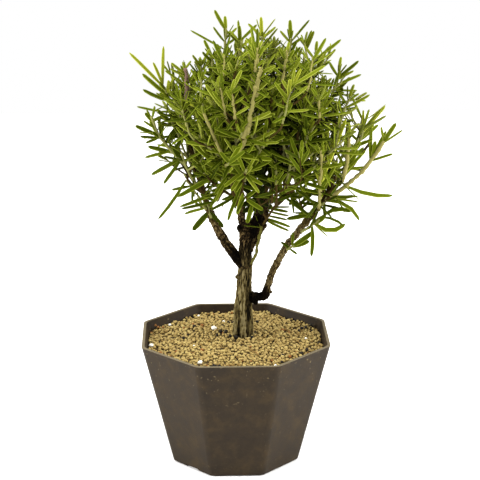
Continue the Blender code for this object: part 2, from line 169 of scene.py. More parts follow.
def blend(pair, share):
    return pair[0] + (pair[1] - pair[0]) * share


# the camera that took the photograph, worked out from the pot's rim and foot
view = {
    "place": Vector((-0.02532, -0.90933, 0.41521)),
    "pitch": 16.53,
    "yaw": 1.79,
    "lens": 112.0,
    "sensor": 36,
    "pixels": 480,  # the photograph's width and height
}
viewTurn = Euler((math.radians(90 - view["pitch"]), 0, -math.radians(view["yaw"])))
focalPixels = view["lens"] * view["pixels"] / view["sensor"]
midPixel = view["pixels"] / 2


def seen(x, y, depth):
    # the point that shows at a place of the photograph, so many millimetres behind the pot's middle
    ray = viewTurn.to_matrix() @ Vector((x - midPixel, midPixel - y, -focalPixels))
    return view["place"] + ray * ((depth / 1000 - view["place"].y) / ray.y)


def placesSeen(points):
    # where points, in rows, show in the photograph
    away = (points - np.array(view["place"])) @ np.array(viewTurn.to_matrix())
    scale = focalPixels / -away[..., 2]
    return midPixel + away[..., 0] * scale, midPixel - away[..., 1] * scale


# ---- pot

pot = {
    "rimFlats": 0.120,  # across the flats, outside
    "footFlats": 0.0805,
    "height": 0.0824,
    "wall": 0.0020,
    "floor": 0.0030,
    "cornerRounding": 0.0045,
    "cornerSteps": 6,
    "footRounding": 0.0012,
    "rimRounding": 0.00045,
    "holes": 4,
    "holeRadius": 0.0035,
    "holeSides": 24,
    "holeCircle": 0.022,
    "channelWidth": 0.0115,
    "channelDepth": 0.0019,
    "channelStart": 0.016,
    "channelHeadings": (225, 45),
    "channelRounding": 0.0007,
    "sharpFrom": 32,  # degrees between faces
    "colours": ("#1c140a", "#251c0f", "#352916"),
    "dust": "#857552",
    "dustFrom": 0.050,  # the height from which it grows towards the rim
    # a painted highlight along the rim's top edge: its colour, and the heights over which it comes in
    "rimHighlight": "#6a604a",
    "rimHighlightFrom": (0.0819, 0.0822),
    "grain": 0.0006,  # the mould's grain is finer, but this is as fine as shows
}


def flatsAt(z):
    return pot["footFlats"] + (pot["rimFlats"] - pot["footFlats"]) * z / pot["height"]


def octagonFace(bm, flats, z, steps):
    half = math.pi / 8
    place = Matrix.Translation((0, 0, z)) @ Matrix.Rotation(half, 4, "Z")
    ring = bmesh.ops.create_circle(bm, cap_ends=True, segments=8, radius=flats / 2 / math.cos(half), matrix=place)
    bmesh.ops.bevel(
        bm, geom=ring["verts"], offset=pot["cornerRounding"] * math.tan(half), offset_type="OFFSET",
        affect="VERTICES", segments=steps, profile=0.5, material=-1,
    )
    bm.faces.ensure_lookup_table()
    return bm.faces[-1]


def raiseFace(bm, face, z, scale, about=(0, 0)):
    alone = all(len(edge.link_faces) == 1 for edge in face.edges)
    extruded = bmesh.ops.extrude_face_region(bm, geom=[face])["geom"]
    made = next(item for item in extruded if isinstance(item, bmesh.types.BMFace))
    if not alone:
        bm.faces.remove(face)
    for vert in made.verts:
        vert.co.x = about[0] + (vert.co.x - about[0]) * scale
        vert.co.y = about[1] + (vert.co.y - about[1]) * scale
        vert.co.z = z
    return made


def potPlastic():
    # Injection-moulded polypropylene, matt and dark brown-grey: a fine mould grain, faint cloudy
    # patches from handling, pale specks of soil dust, more dust up by the rim, and a painted highlight along its top
    # edge.
    made, tree, shader = newMaterial("mouldedPolypropylene", 0.62, ior=1.49)
    shader.inputs["Specular IOR Level"].default_value = 0.14  # the grain scatters most of the gloss
    place = addNode(tree, "TexCoord").outputs["Object"]
    clouds = addNode(tree, "TexNoise", {"Scale": 90, "Detail": 9, "Roughness": 0.72}, {"Vector": place})
    stops = list(zip((0.30, 0.5, 0.74), pot["colours"]))
    base = addNode(tree, "ValToRGB", {"stops": stops}, {"Fac": clouds.outputs["Fac"]})
    specks = addNode(tree, "TexNoise", {"Scale": 420, "Detail": 3, "Roughness": 0.6}, {"Vector": place})
    speckShare = addNode(tree, "ValToRGB", {"stops": [(0.65, 0.0), (0.74, 0.6)]}, {"Fac": specks.outputs["Fac"]})
    high = addNode(tree, "SeparateXYZ", links={"Vector": place})
    rising = {"From Min": pot["dustFrom"], "From Max": pot["height"], "To Min": 0.15, "To Max": 0.9}
    nearRim = addNode(tree, "MapRange", rising, {"Value": high.outputs["Z"]}).outputs["Result"]
    dustShare = addNode(tree, "Math", {"operation": "MULTIPLY"}, {0: speckShare.outputs["Color"], 1: nearRim})
    dust = {"data_type": "RGBA", 7: linear(pot["dust"])}
    dusty = addNode(tree, "Mix", dust, {0: dustShare.outputs["Value"], 6: base.outputs["Color"]})
    # painted highlight: the rim's top edge mixed towards a paler colour
    highlightBand = {"From Min": pot["rimHighlightFrom"][0], "From Max": pot["rimHighlightFrom"][1], "To Max": 0.75}
    onRim = addNode(tree, "MapRange", highlightBand, {"Value": high.outputs["Z"]})
    rimHighlight = {"data_type": "RGBA", 7: linear(pot["rimHighlight"])}
    colour = addNode(tree, "Mix", rimHighlight, {0: onRim.outputs["Result"], 6: dusty.outputs[2]})
    grain = addNode(tree, "TexNoise", {"Scale": 1 / pot["grain"], "Detail": 2}, {"Vector": place})
    bump = addNode(tree, "Bump", {"Strength": 0.25, "Distance": 0.0003}, {"Height": grain.outputs["Fac"]})
    rough = addNode(tree, "MapRange", {"To Min": 0.52, "To Max": 0.74}, {"Value": clouds.outputs["Fac"]})
    tree.links.new(colour.outputs[2], shader.inputs["Base Color"])
    tree.links.new(rough.outputs["Result"], shader.inputs["Roughness"])
    tree.links.new(bump.outputs["Normal"], shader.inputs["Normal"])
    return made


def makePot():
    bm = bmesh.new()
    under = flatsAt(0) - 2 * pot["footRounding"]
    overFoot = flatsAt(pot["footRounding"])
    mouth = pot["rimFlats"] - 2 * pot["wall"]
    face = octagonFace(bm, under, 0, pot["cornerSteps"])
    face = raiseFace(bm, face, pot["footRounding"], overFoot / under)
    face = raiseFace(bm, face, pot["height"], pot["rimFlats"] / overFoot)
    face = raiseFace(bm, face, pot["height"], mouth / pot["rimFlats"])
    raiseFace(bm, face, pot["floor"], (flatsAt(pot["floor"]) - 2 * pot["wall"]) / mouth)
    bmesh.ops.recalc_face_normals(bm, faces=bm.faces)
    rim = [edge for edge in bm.edges if all(abs(v.co.z - pot["height"]) < 1e-6 for v in edge.verts)]
    rim = [edge for edge in rim if any(abs(face.normal.z) < 0.9 for face in edge.link_faces)]
    bmesh.ops.bevel(
        bm, geom=rim, offset=pot["rimRounding"], offset_type="OFFSET", affect="EDGES",
        segments=2, profile=0.5, material=-1,
    )
    body = bpy.data.objects.new("potBody", meshOf(bm, "potBody"))
    bpy.context.scene.collection.objects.link(body)
    cutters = bpy.data.collections.new("potCutters")
    bpy.context.scene.collection.children.link(cutters)
    for i in range(pot["holes"]):
        turn = 2 * math.pi * (i + 0.5) / pot["holes"]
        hole = bmesh.new()
        centre = Vector((math.cos(turn), math.sin(turn), 0)) * pot["holeCircle"]
        bmesh.ops.create_cone(
            hole, cap_ends=True, segments=pot["holeSides"], radius1=pot["holeRadius"], radius2=pot["holeRadius"],
            depth=4 * pot["floor"], matrix=Matrix.Translation(centre),
        )
        cutters.objects.link(bpy.data.objects.new("hole", meshOf(hole, "hole")))
    for heading in pot["channelHeadings"]:
        channel = bmesh.new()
        length = pot["footFlats"] / 2
        size = Matrix.Diagonal((length, pot["channelWidth"], 2 * pot["channelDepth"], 1))
        out = Matrix.Translation((pot["channelStart"] + length / 2, 0, 0))
        bmesh.ops.create_cube(channel, size=1, matrix=Matrix.Rotation(math.radians(heading), 4, "Z") @ out @ size)
        bmesh.ops.bevel(
            channel, geom=channel.edges[:], offset=pot["channelRounding"], offset_type="OFFSET", affect="EDGES",
            segments=3, profile=0.5, material=-1,
        )
        cutters.objects.link(bpy.data.objects.new("channel", meshOf(channel, "channel")))
    cut = body.modifiers.new("cut", "BOOLEAN")
    cut.operation, cut.operand_type, cut.collection = "DIFFERENCE", "COLLECTION", cutters
    mesh = applied(body)
    for cutter in list(cutters.objects):
        bpy.data.objects.remove(cutter)
    bpy.data.collections.remove(cutters)
    mesh.shade_smooth()
    mesh.set_sharp_from_angle(angle=math.radians(pot["sharpFrom"]))
    piece = addPiece("octagonPot", mesh, [potPlastic()], ["pot"])
    weigh = piece.modifiers.new("flatFaces", "WEIGHTED_NORMAL")  # keeps the sides flat between rounded corners
    weigh.keep_sharp = True


makePot()
print("pot made")


# ---- soil of loose clay granules

soil = {
    "edge": 0.0771,
    "top": 0.0789,
    "trunkFoot": (0.0053, 0.0063),
    "trunkRadius": 0.0058,
    "trunkPatch": 0.16,  # share of the width that is level
    "lumpSpacing": 0.0095,
    "lumpHeight": 0.0013,
    "lumpSway": 0.22,
    "lumpSeed": 4,
    "grainRadius": (0.00092, 0.00146),
    "smallGrains": 1.3,  # above 1, more of the grains are small
    "grainShapes": 8,
    "cornerSway": (0.82, 1.12),
    "grainWidth": (0.75, 0.95),  # of its length
    "grainHeight": (0.7, 0.9),
    "sunk": 0.45,  # of its radius, how far a grain's middle lies below the surface
    "uneven": (-0.0003, 0.0004),
    "layers": ((0.0010, 9000), (-0.0002, 12000)),  # depth below the surface, and tries to place a grain
    "tried": 0.058,  # how far out from the middle
    "wallMargin": 0.9,  # of its radius, how far a grain keeps off the wall, and below off the trunk
    "trunkMargin": 0.3,
    "closest": 0.85,  # of the two radii together
    "cell": 0.0028,  # of the grid that finds a grain's neighbours
    "heap": 0.0012,  # how much higher the grains lie behind the trunk
    "heapPlace": (0.008, 0.036),
    "heapSpread": 0.0007,  # square metres
    "seed": 5,
    "bedGap": (0.0003, 0.0002),  # to the pot's floor and wall
    "bedCorners": 3,
    "bedSunk": 0.0024,
    "bedSteps": ((0.0010, 0.72), (0.0016, 0.30)),  # rise and scale of the rings towards the trunk
}

# dealt out by grain: share of all grains, and colour
grainKinds = {
    "grainsPale": (0.20, "#a69258"),
    "grainsTan": (0.42, "#9d8750"),
    "grainsDeep": (0.29, "#917b45"),
    "grainsBrown": (0.06, "#775f30"),
    "grainsRust": (0.015, "#7b5124"),
    "grainsDark": (0.010, "#1d1812"),
    "grainsWhite": (0.0008, "#e3e0d4"),
}

# grains that the photograph shows apart: place in its pixels and radius in metres
looseBits = {
    "grainsWhite": (
        (213.9, 329.2, 0.0019), (200, 360, 0.0016), (151, 343.5, 0.0017), (275.5, 363, 0.0012), (256.4, 365, 0.0011),
        (169.9, 322.6, 0.0012),
    ),
    "grainsDark": (
        (233, 322, 0.0014), (226, 333, 0.0017), (221, 331, 0.0014), (236, 338, 0.0013), (230, 337, 0.0012),
        (217, 335, 0.0010), (252, 338, 0.0011), (213.5, 364, 0.0013), (216.5, 364.4, 0.0011), (219.5, 363.8, 0.0010),
        (307, 349, 0.0014), (302, 328, 0.0014), (306, 326, 0.0015), (311, 324, 0.0013), (315, 322, 0.0011),
        (299, 330, 0.0010), (223, 325, 0.0010), (255, 333, 0.0010),
    ),
    "grainsRust": (
        (155, 324, 0.0013), (158.5, 326, 0.0012), (152, 323, 0.0012), (290, 355, 0.0014), (163, 325, 0.0011),
    ),
}


def clayGrain(name, colour):
    # Akadama, a granular clay dried hard: dull and porous, no gloss, each granule its own tan.
    # The colour is plain, and dealt out by granule.
    made, tree, shader = newMaterial(name, 0.93, colour, ior=1.35)
    fineRelief(tree, shader, scale=1800, detail=3, strength=0.5, distance=0.0002)  # pores
    return made


def soilBed():
    # the soil that shows between the granules, coloured dark as painted shade of the gaps between them
    made, tree, shader = newMaterial("clayBedPaintedShade", 0.95, ior=1.35)
    place = addNode(tree, "TexCoord").outputs["Object"]
    lumps = addNode(tree, "TexVoronoi", {"Scale": 480}, {"Vector": place})
    away = lumps.outputs["Distance"]
    # painted shade, darkest towards the edges of the cells
    stops = [(0.1, "#6a5530"), (0.5, "#46371d"), (0.8, "#241b0f")]
    colour = addNode(tree, "ValToRGB", {"stops": stops}, {"Fac": away})
    bump = addNode(tree, "Bump", {"Strength": 0.8, "Distance": 0.0008, "invert": True}, {"Height": away})
    tree.links.new(colour.outputs["Color"], shader.inputs["Base Color"])
    tree.links.new(bump.outputs["Normal"], shader.inputs["Normal"])
    return made


def inPot(x, y, margin, z):
    # whether a point is further inside the pot's walls than a margin
    room = flatsAt(z) / 2 - pot["wall"] - margin
    return all(x * math.cos(a) + y * math.sin(a) < room for a in (math.pi / 4 * k for k in range(8)))


def moundHeight(x, y):
    away = math.hypot(x - soil["trunkFoot"][0], y - soil["trunkFoot"][1]) / (flatsAt(soil["edge"]) / 2)
    share = min(max((1 - away) / (1 - soil["trunkPatch"]), 0), 1)
    return soil["edge"] + (soil["top"] - soil["edge"]) * math.sin(share * math.pi / 2)


def lumpySheet():
    # the solid's lumpy top, level round the trunk: every second corner is a lump's top
    chance = random.Random(soil["lumpSeed"])
    footX, footY = soil["trunkFoot"]
    bm = bmesh.new()
    step = soil["lumpSpacing"] / math.sqrt(2)
    cells = 2 * math.ceil(pot["rimFlats"] / 2 / step + 1)
    place = Matrix.Translation((footX, footY, 0))
    bmesh.ops.create_grid(bm, x_segments=cells, y_segments=cells, size=cells * step / 2, matrix=place)
    raised = bmesh.ops.extrude_face_region(bm, geom=bm.faces[:])["geom"]
    for vert in (item for item in raised if isinstance(item, bmesh.types.BMVert)):
        vert.co.z = soil["top"]
        column, row = round((vert.co.x - footX) / step), round((vert.co.y - footY) / step)
        if max(abs(column), abs(row)) > 1:
            vert.co.x += step * chance.uniform(-soil["lumpSway"], soil["lumpSway"])
            vert.co.y += step * chance.uniform(-soil["lumpSway"], soil["lumpSway"])
            vert.co.z = moundHeight(vert.co.x, vert.co.y)
            if (column + row) % 2:
                vert.co.z -= soil["lumpHeight"] * chance.uniform(1 - soil["lumpSway"], 1 + soil["lumpSway"])
    bmesh.ops.triangulate(bm, faces=bm.faces[:])
    tree = BVHTree.FromBMesh(bm)
    bm.free()
    return tree


soilTop = lumpySheet()


def surfaceHeight(x, y):
    return soilTop.ray_cast(Vector((x, y, 0.1)), Vector((0, 0, -1)))[0].z


def grainShape(chance):
    # a lump of 24 faces, rounded from a cube and knocked about a little
    bm = bmesh.new()
    bmesh.ops.create_cube(bm, size=2)
    bmesh.ops.subdivide_edges(bm, edges=bm.edges[:], cuts=1, use_grid_fill=True)
    for vert in bm.verts:
        vert.co = vert.co.normalized() * chance.uniform(*soil["cornerSway"])
    size = (1.0, chance.uniform(*soil["grainWidth"]), chance.uniform(*soil["grainHeight"]))
    bmesh.ops.scale(bm, vec=size, verts=bm.verts)
    return arraysOf(bm)[:2]


def layGrains():
    chance = random.Random(soil["seed"])
    laid = {name: [] for name in grainKinds}
    cell = soil["cell"]
    footX, footY = soil["trunkFoot"]
    heapX, heapY = soil["heapPlace"]
    names = list(grainKinds)
    weights = [share for share, _ in grainKinds.values()]
    for depth, tries in soil["layers"]:
        near = {}
        if depth < 0:
            for name, spots in looseBits.items():
                for pixelX, pixelY, radius in spots:
                    ray = seen(pixelX, pixelY, 0) - view["place"]
                    x, y, _ = view["place"] + ray * ((soil["top"] - view["place"].z) / ray.z)
                    laid[name].append((x, y, surfaceHeight(x, y) + radius * 0.8, radius))  # on top of the rest
                    near.setdefault((int(x // cell), int(y // cell)), []).append((x, y, radius))
        for _ in range(tries):
            x, y = chance.uniform(-soil["tried"], soil["tried"]), chance.uniform(-soil["tried"], soil["tried"])
            radius = blend(soil["grainRadius"], chance.random() ** soil["smallGrains"])
            z = surfaceHeight(x, y) - depth - radius * soil["sunk"] + chance.uniform(*soil["uneven"])
            z += soil["heap"] * math.exp(-((x - heapX) ** 2 + (y - heapY) ** 2) / soil["heapSpread"])
            if not inPot(x, y, radius * soil["wallMargin"], z):
                continue
            if math.hypot(x - footX, y - footY) < soil["trunkRadius"] + radius * soil["trunkMargin"]:
                continue
            i, j = int(x // cell), int(y // cell)
            others = [o for di in (-1, 0, 1) for dj in (-1, 0, 1) for o in near.get((i + di, j + dj), ())]
            if any(math.hypot(x - ox, y - oy) < (radius + r) * soil["closest"] for ox, oy, r in others):
                continue
            near.setdefault((i, j), []).append((x, y, radius))
            laid[chance.choices(names, weights)[0]].append((x, y, z, radius))
    return laid


def makeGrains():
    chance = random.Random(soil["seed"] + 1)
    shapes = [grainShape(chance) for _ in range(soil["grainShapes"])]
    for name, spots in layGrains().items():
        parts = []
        for x, y, z, radius in spots:
            shape, faces = chance.choice(shapes)
            turn = Matrix.Rotation(chance.uniform(0, 6.28), 3, "Z") @ Matrix.Rotation(chance.uniform(-0.7, 0.7), 3, "X")
            parts.append((shape @ np.array(turn).T * radius + (x, y, z), faces))
        mesh = meshFromArrays(name, *joined(parts))
        addPiece(name, mesh, [clayGrain(name.replace("grains", "akadama"), grainKinds[name][1])], ["soil"])
        print(name, len(spots), "grains")


def makeBed():
    bm = bmesh.new()
    floorGap, wallGap = soil["bedGap"]
    bottom = pot["floor"] + floorGap
    inner = 2 * (pot["wall"] + wallGap)
    low = soil["edge"] - soil["bedSunk"]
    face = octagonFace(bm, flatsAt(bottom) - inner, bottom, soil["bedCorners"])
    face = raiseFace(bm, face, low, (flatsAt(low) - inner) / (flatsAt(bottom) - inner))
    for rise, scale in soil["bedSteps"]:
        face = raiseFace(bm, face, low + rise, scale, soil["trunkFoot"])
    bmesh.ops.recalc_face_normals(bm, faces=bm.faces)
    addPiece("soilBed", meshOf(bm, "soilBed"), [soilBed()], ["soil"])


makeGrains()
makeBed()
print("soil made")


# ---- the plan of the trunk, boughs and stems, by the same rule as the solids

gap = 0.0003  # between one solid and the next
trunk = {
    "foot": Vector((*soil["trunkFoot"], soil["top"] + gap)),
    "length": 0.0655,
    "heading": (20, -10),
    "lean": (89.4, 87.0),
    "radius": (0.0052, 0.0041),
    "flare": 0.0013,
    "flareLength": 0.030,
    "step": 0.0055,
}

# where each bough leaves its parent; heading, climb and radius run from its foot to its tip
limbStep = 0.006
boughs = {
    "right_leader": dict(
        parent="trunk", along=1.0, heading=(4, -2), climb=(60, 84), ease=1.4,
        length=0.029, radius=(0.0035, 0.0025)),
    "centre_leader": dict(
        parent="trunk", along=0.93, heading=(172, 205), climb=(70, 88), ease=1.0,
        length=0.0262, radius=(0.0028, 0.0021)),
    "left_bough": dict(
        parent="trunk", along=0.715, heading=(180, 172), climb=(44, 70), ease=1.5,
        length=0.0490, radius=(0.0034, 0.0024)),
    "low_bough_foot": dict(
        parent="trunk", along=0.385, heading=(0, -4), climb=(-4, 22), ease=0.6,
        length=0.0150, radius=(0.0033, 0.0025)),
    "low_bough": dict(
        parent="low_bough_foot", along=0.93, heading=(0, -5), climb=(82, 52), ease=2.2,
        length=0.0660, radius=(0.0022, 0.0016)),
    "side_shoot": dict(
        parent="trunk", along=0.76, heading=(-8, -22), climb=(58, 76), ease=1.0,
        length=0.0250, radius=(0.0012, 0.0009)),
    "back_left_bough": dict(
        parent="trunk", along=0.80, heading=(92, 104), climb=(30, 62), ease=1.0,
        length=0.0520, radius=(0.0026, 0.0017)),
    "back_right_bough": dict(
        parent="trunk", along=0.86, heading=(52, 64), climb=(32, 60), ease=1.0,
        length=0.0500, radius=(0.0026, 0.0017)),
}

# the stem in each mass of foliage
stemStep = 0.008
masses = {
    "top_foliage": dict(limb="centre_leader", heading=(150, 120), climb=(86, 84), length=0.080),
    "front_foliage": dict(limb="centre_leader", heading=(262, 272), climb=(30, 66), length=0.058),
    "right_top_foliage": dict(limb="right_leader", heading=(6, 10), climb=(72, 50), length=0.080),
    "right_front_foliage": dict(limb="side_shoot", heading=(-40, -56), climb=(52, 62), length=0.060),
    "left_foliage": dict(limb="left_bough", heading=(172, 160), climb=(74, 80), length=0.068),
    "right_low_foliage": dict(limb="low_bough", heading=(-4, -10), climb=(50, 56), length=0.056),
    "back_left_foliage": dict(limb="back_left_bough", heading=(104, 120), climb=(66, 78), length=0.052),
    "back_right_foliage": dict(limb="back_right_bough", heading=(62, 50), climb=(64, 74), length=0.050),
}

crown = {
    "heart": Vector((0.017, 0.0063, 0.213)),
    "left": 0.081,
    "right": 0.074,
    "front": 0.074,
    "back": 0.076,
    "up": 0.0755,
    "down": 0.064,
    "lowSpread": 0.36,  # how much further the crown reaches low on the right
    "lowSpreadClimb": -13,
    "lowSpreadPower": 5,
    "lowestShoot": -0.67,
    "lowestInFront": -0.42,  # the trunk shows under the front of the crown
    "frontFrom": -0.35,  # y of the directions that count as front
    "shells": ((84, (0.76, 0.94)), (38, (0.48, 0.70))),  # shoots, and the share of the reach that they take up
    "innerBelow": 0.75,  # share of the reach
    # heading, climb, depth and narrowness of the places where the photograph shows the crown open
    "hollows": ((0, 22, 0.08, 10), (180, 42, 0.12, 10), (0, -30, 0.22, 8), (270, -45, 0.16, 8), (180, -10, 0.10, 8)),
    "seed": 27,
}


def limbPath(start, heading, climb, length, step, ease=1.0):
    count = max(3, round(length / step))
    points = [start.copy()]
    for i in range(count):
        share = (i + 0.5) / count
        rise = climb[1] + (climb[0] - climb[1]) * (1 - share) ** ease
        points.append(points[-1] + towards(blend(heading, share), rise) * (length / count))
    return points


def pointAt(points, share):
    place = min(max(share, 0.0), 1.0) * (len(points) - 1)
    i = min(int(place), len(points) - 2)
    return points[i].lerp(points[i + 1], place - i)


def layOutLimbs():
    limbs = {"trunk": limbPath(trunk["foot"], trunk["heading"], trunk["lean"], trunk["length"], trunk["step"])}
    for name, b in boughs.items():
        start = pointAt(limbs[b["parent"]], b["along"])
        limbs[name] = limbPath(start, b["heading"], b["climb"], b["length"], limbStep, b["ease"])
    return limbs


def reachOf(outwards):
    side = crown["right"] if outwards.x > 0 else crown["left"]
    depth = crown["back"] if outwards.y > 0 else crown["front"]
    rise = crown["up"] if outwards.z > 0 else crown["down"]
    plain = 1 / math.sqrt((outwards.x / side) ** 2 + (outwards.y / depth) ** 2 + (outwards.z / rise) ** 2)
    low = max(0.0, outwards.dot(towards(0, crown["lowSpreadClimb"]))) ** crown["lowSpreadPower"]
    return plain * (1 + crown["lowSpread"] * low)


def openReach(outwards):
    # the reach, drawn in at the hollows
    share = 1.0
    for heading, climb, depth, power in crown["hollows"]:
        share -= depth * max(0.0, outwards.dot(towards(heading, climb))) ** power
    return reachOf(outwards) * share


# how far right of the solids the photograph shows the ends of the leaders
swerves = {"centre_leader": 0.0020, "right_leader": 0.0028}


def layOutStems():
    found = {}
    for name, mass in masses.items():
        path = limbPath(limbs[mass["limb"]][-1], mass["heading"], mass["climb"], mass["length"], stemStep)
        for k, point in enumerate(path):
            point.x += swerves.get(mass["limb"], 0) * (1 - k / (len(path) - 1))
        found[name] = path
    for name, swerve in swerves.items():
        for k, point in enumerate(limbs[name]):
            point.x += swerve * k / (len(limbs[name]) - 1)
    return found


limbs = layOutLimbs()
stems = layOutStems()


# ---- bark of the trunk and boughs

bark = {
    "voxel": 0.00032,
    "ringStep": 0.0012,
    "corners": 24,
    "fissureWidth": 0.0011,
    "fissureStretch": (0.40, 0.13),  # short flakes on boughs, long straight fissures on the trunk
    "fissureDepth": (0.00048, 0.00062),  # on boughs and on the trunk, as in the two pairs about it
    "fissureContrast": 3.4,
    "fineShare": 0.38,  # of the relief, and how much finer it is
    "fineScale": 2.2,
    "ridgeLevel": 0.7,  # the relief that lies on the limb's own surface
    "lumpDepth": (0.0014, 0.00038),
    "lumpSize": 0.0024,
    "crook": 0.0008,  # how far limbs stray from their even curve
    "lobes": 0.0008,  # root lobes round the foot of the trunk
    "lobeHeight": 0.022,
    "trunkShares": (0.98, 0.75),  # of the solid's radius and flare, before the relief is added
    "swollen": {"low_bough": 1.35},  # how much thicker a limb's end is than the solid's
    "collars": {"side_shoot": 0.0003},  # how much each bough thickens at its foot, where it isn't as below
    "collar": 0.0010,
    "collarLength": 0.004,
    "split": (238, 13, 0.0016, 0.020),  # heading, breadth, depth and height of the split in the trunk's foot, carved in and darkened as painted shade
    "sides": ((313, 24, -0.34), (268, 14, 0.14), (215, 24, -0.16)),  # heading, breadth and paleness: painted shade on the trunk's sides and painted light down its front
    "snagShares": (1.25, 1, 0.6),  # of a snag's radius, at its foot, in its middle and at its tip
    "snagSides": 10,
    "softening": (0.5, 3),
    "inSoil": 0.0012,  # how far the trunk's foot reaches into the grains
}

# where the bark is painted nearly black, as painted shade in the forks and under the low bough: place and radius
paintedShadePatches = (
    (seen(236, 257, 3), 0.0045), (seen(259, 221, 3), 0.0060), (seen(257, 234, 3), 0.0045), (seen(257, 297, 4), 0.0060),
    (seen(239, 227, 3), 0.0024), (seen(264, 292, 4), 0.0028),
)

# stubs and knobs that the photograph shows: place, heading, climb, length, radius
snags = {
    "trunkKnob": ((0.0022, 0.0045, 0.1190), 185, 20, 0.0020, 0.0015),
    "lowStub": ((0.0128, 0.0040, 0.1025), -20, -60, 0.0022, 0.0016),
    "boughKnob": ((-0.0110, 0.0055, 0.1490), 220, 20, 0.0026, 0.0010),
    "boughStub": ((-0.0105, 0.0055, 0.1440), 20, 50, 0.0026, 0.0008),
    "upperKnob": ((-0.0195, 0.0060, 0.1650), 200, 10, 0.0024, 0.0009),
    "lowBoughKnob": ((0.0255, 0.0045, 0.1240), 160, 30, 0.0022, 0.0007),
    "lowBoughBump": ((0.0225, 0.0045, 0.1090), -20, -20, 0.0020, 0.0011),
    "forkBurl": (seen(258, 223, 5), 20, 60, 0.0040, 0.0036),
    "lowForkBurl": (seen(255, 236, 5), -10, 40, 0.0028, 0.0030),
    "forkFill": (seen(247, 228, 5), 90, 85, 0.0050, 0.0030),
    "footBurl": (seen(252, 297, 5), 0, 0, 0.0060, 0.0031),
    "leaderSide": (seen(256, 233, 5), 0, 60, 0.0110, 0.0030),
    "leaderTop": (seen(263, 221, 5), 0, 88, 0.0170, 0.0028),
    "burlLeft": (seen(241, 229, 5), 175, 40, 0.0030, 0.0022),
    "burlRight": (seen(262, 226, 5), -5, 20, 0.0030, 0.0024),
    "lowBoughSwell": (seen(306, 225, 4), 60, 40, 0.0020, 0.0016),
    "lowBoughFork": (seen(314, 216, 3), 20, 60, 0.0030, 0.0014),
    "lowBoughStub": ((0.0345, 0.0040, 0.1370), 150, 40, 0.0028, 0.0007),
}


def frames(points):
    # a direction along and two across at every point
    across, found = None, []
    for i in range(len(points)):
        along = (points[min(i + 1, len(points) - 1)] - points[max(i - 1, 0)]).normalized()
        across = across or along.orthogonal()
        across = (across - along * across.dot(along)).normalized()
        found.append((along, across, along.cross(across)))
    return found


def addTube(bm, points, radii, sides):
    # rings made by extruding a circle's edges along the points
    rings = frames(points)
    along, across, third = rings[0]
    turn = Matrix((across, third, along)).transposed().to_4x4()
    ring = bmesh.ops.create_circle(
        bm, cap_ends=True, segments=sides, radius=radii[0], matrix=Matrix.Translation(points[0]) @ turn
    )["verts"]
    edges = list({edge for vert in ring for edge in vert.link_edges})
    for i in range(1, len(points)):
        made = bmesh.ops.extrude_edge_only(bm, edges=edges)["geom"]
        verts = [item for item in made if isinstance(item, bmesh.types.BMVert)]
        edges = [item for item in made if isinstance(item, bmesh.types.BMEdge)]
        _, acrossBefore, thirdBefore = rings[i - 1]
        _, across, third = rings[i]
        for vert in verts:
            off = vert.co - points[i - 1]
            angle = math.atan2(off.dot(thirdBefore), off.dot(acrossBefore))
            vert.co = points[i] + (across * math.cos(angle) + third * math.sin(angle)) * radii[i]
    bmesh.ops.holes_fill(bm, edges=edges)


def pathLength(points):
    return sum((b - a).length for a, b in zip(points, points[1:]))


def alongPath(points, count):
    # count + 1 points evenly along a path, its corners softened
    spans = [(b - a).length for a, b in zip(points, points[1:])]
    whole, even = sum(spans), []
    for k in range(count + 1):
        at, j = k / count * whole, 0
        while j < len(spans) - 1 and at > spans[j]:
            at -= spans[j]
            j += 1
        even.append(points[j].lerp(points[j + 1], at / spans[j]))
    for _ in range(4):
        even = [even[0]] + [(a + b * 2 + c) / 4 for a, b, c in zip(even, even[1:], even[2:])] + [even[-1]]
    return even


def strayed(points, crook, seed):
    # the path straying a little from its even curve, but not at its foot
    found, last = [], len(points) - 1
    for k, point in enumerate(points):
        share = k / last
        stray = Vector((noise.noise(Vector((share * 5, seed, 0))), noise.noise(Vector((seed, share * 5, 4))), 0))
        found.append(point + stray * crook * min(1.0, share * 4) * min(1.0, (1 - share) * 4 + 0.2))
    return found


def trunkRadius(share):
    flare = trunk["flare"] * math.exp(-((share * trunk["length"] / trunk["flareLength"]) ** 2))
    radiusShare, flareShare = bark["trunkShares"]
    return blend(trunk["radius"], share) * radiusShare + flare * flareShare


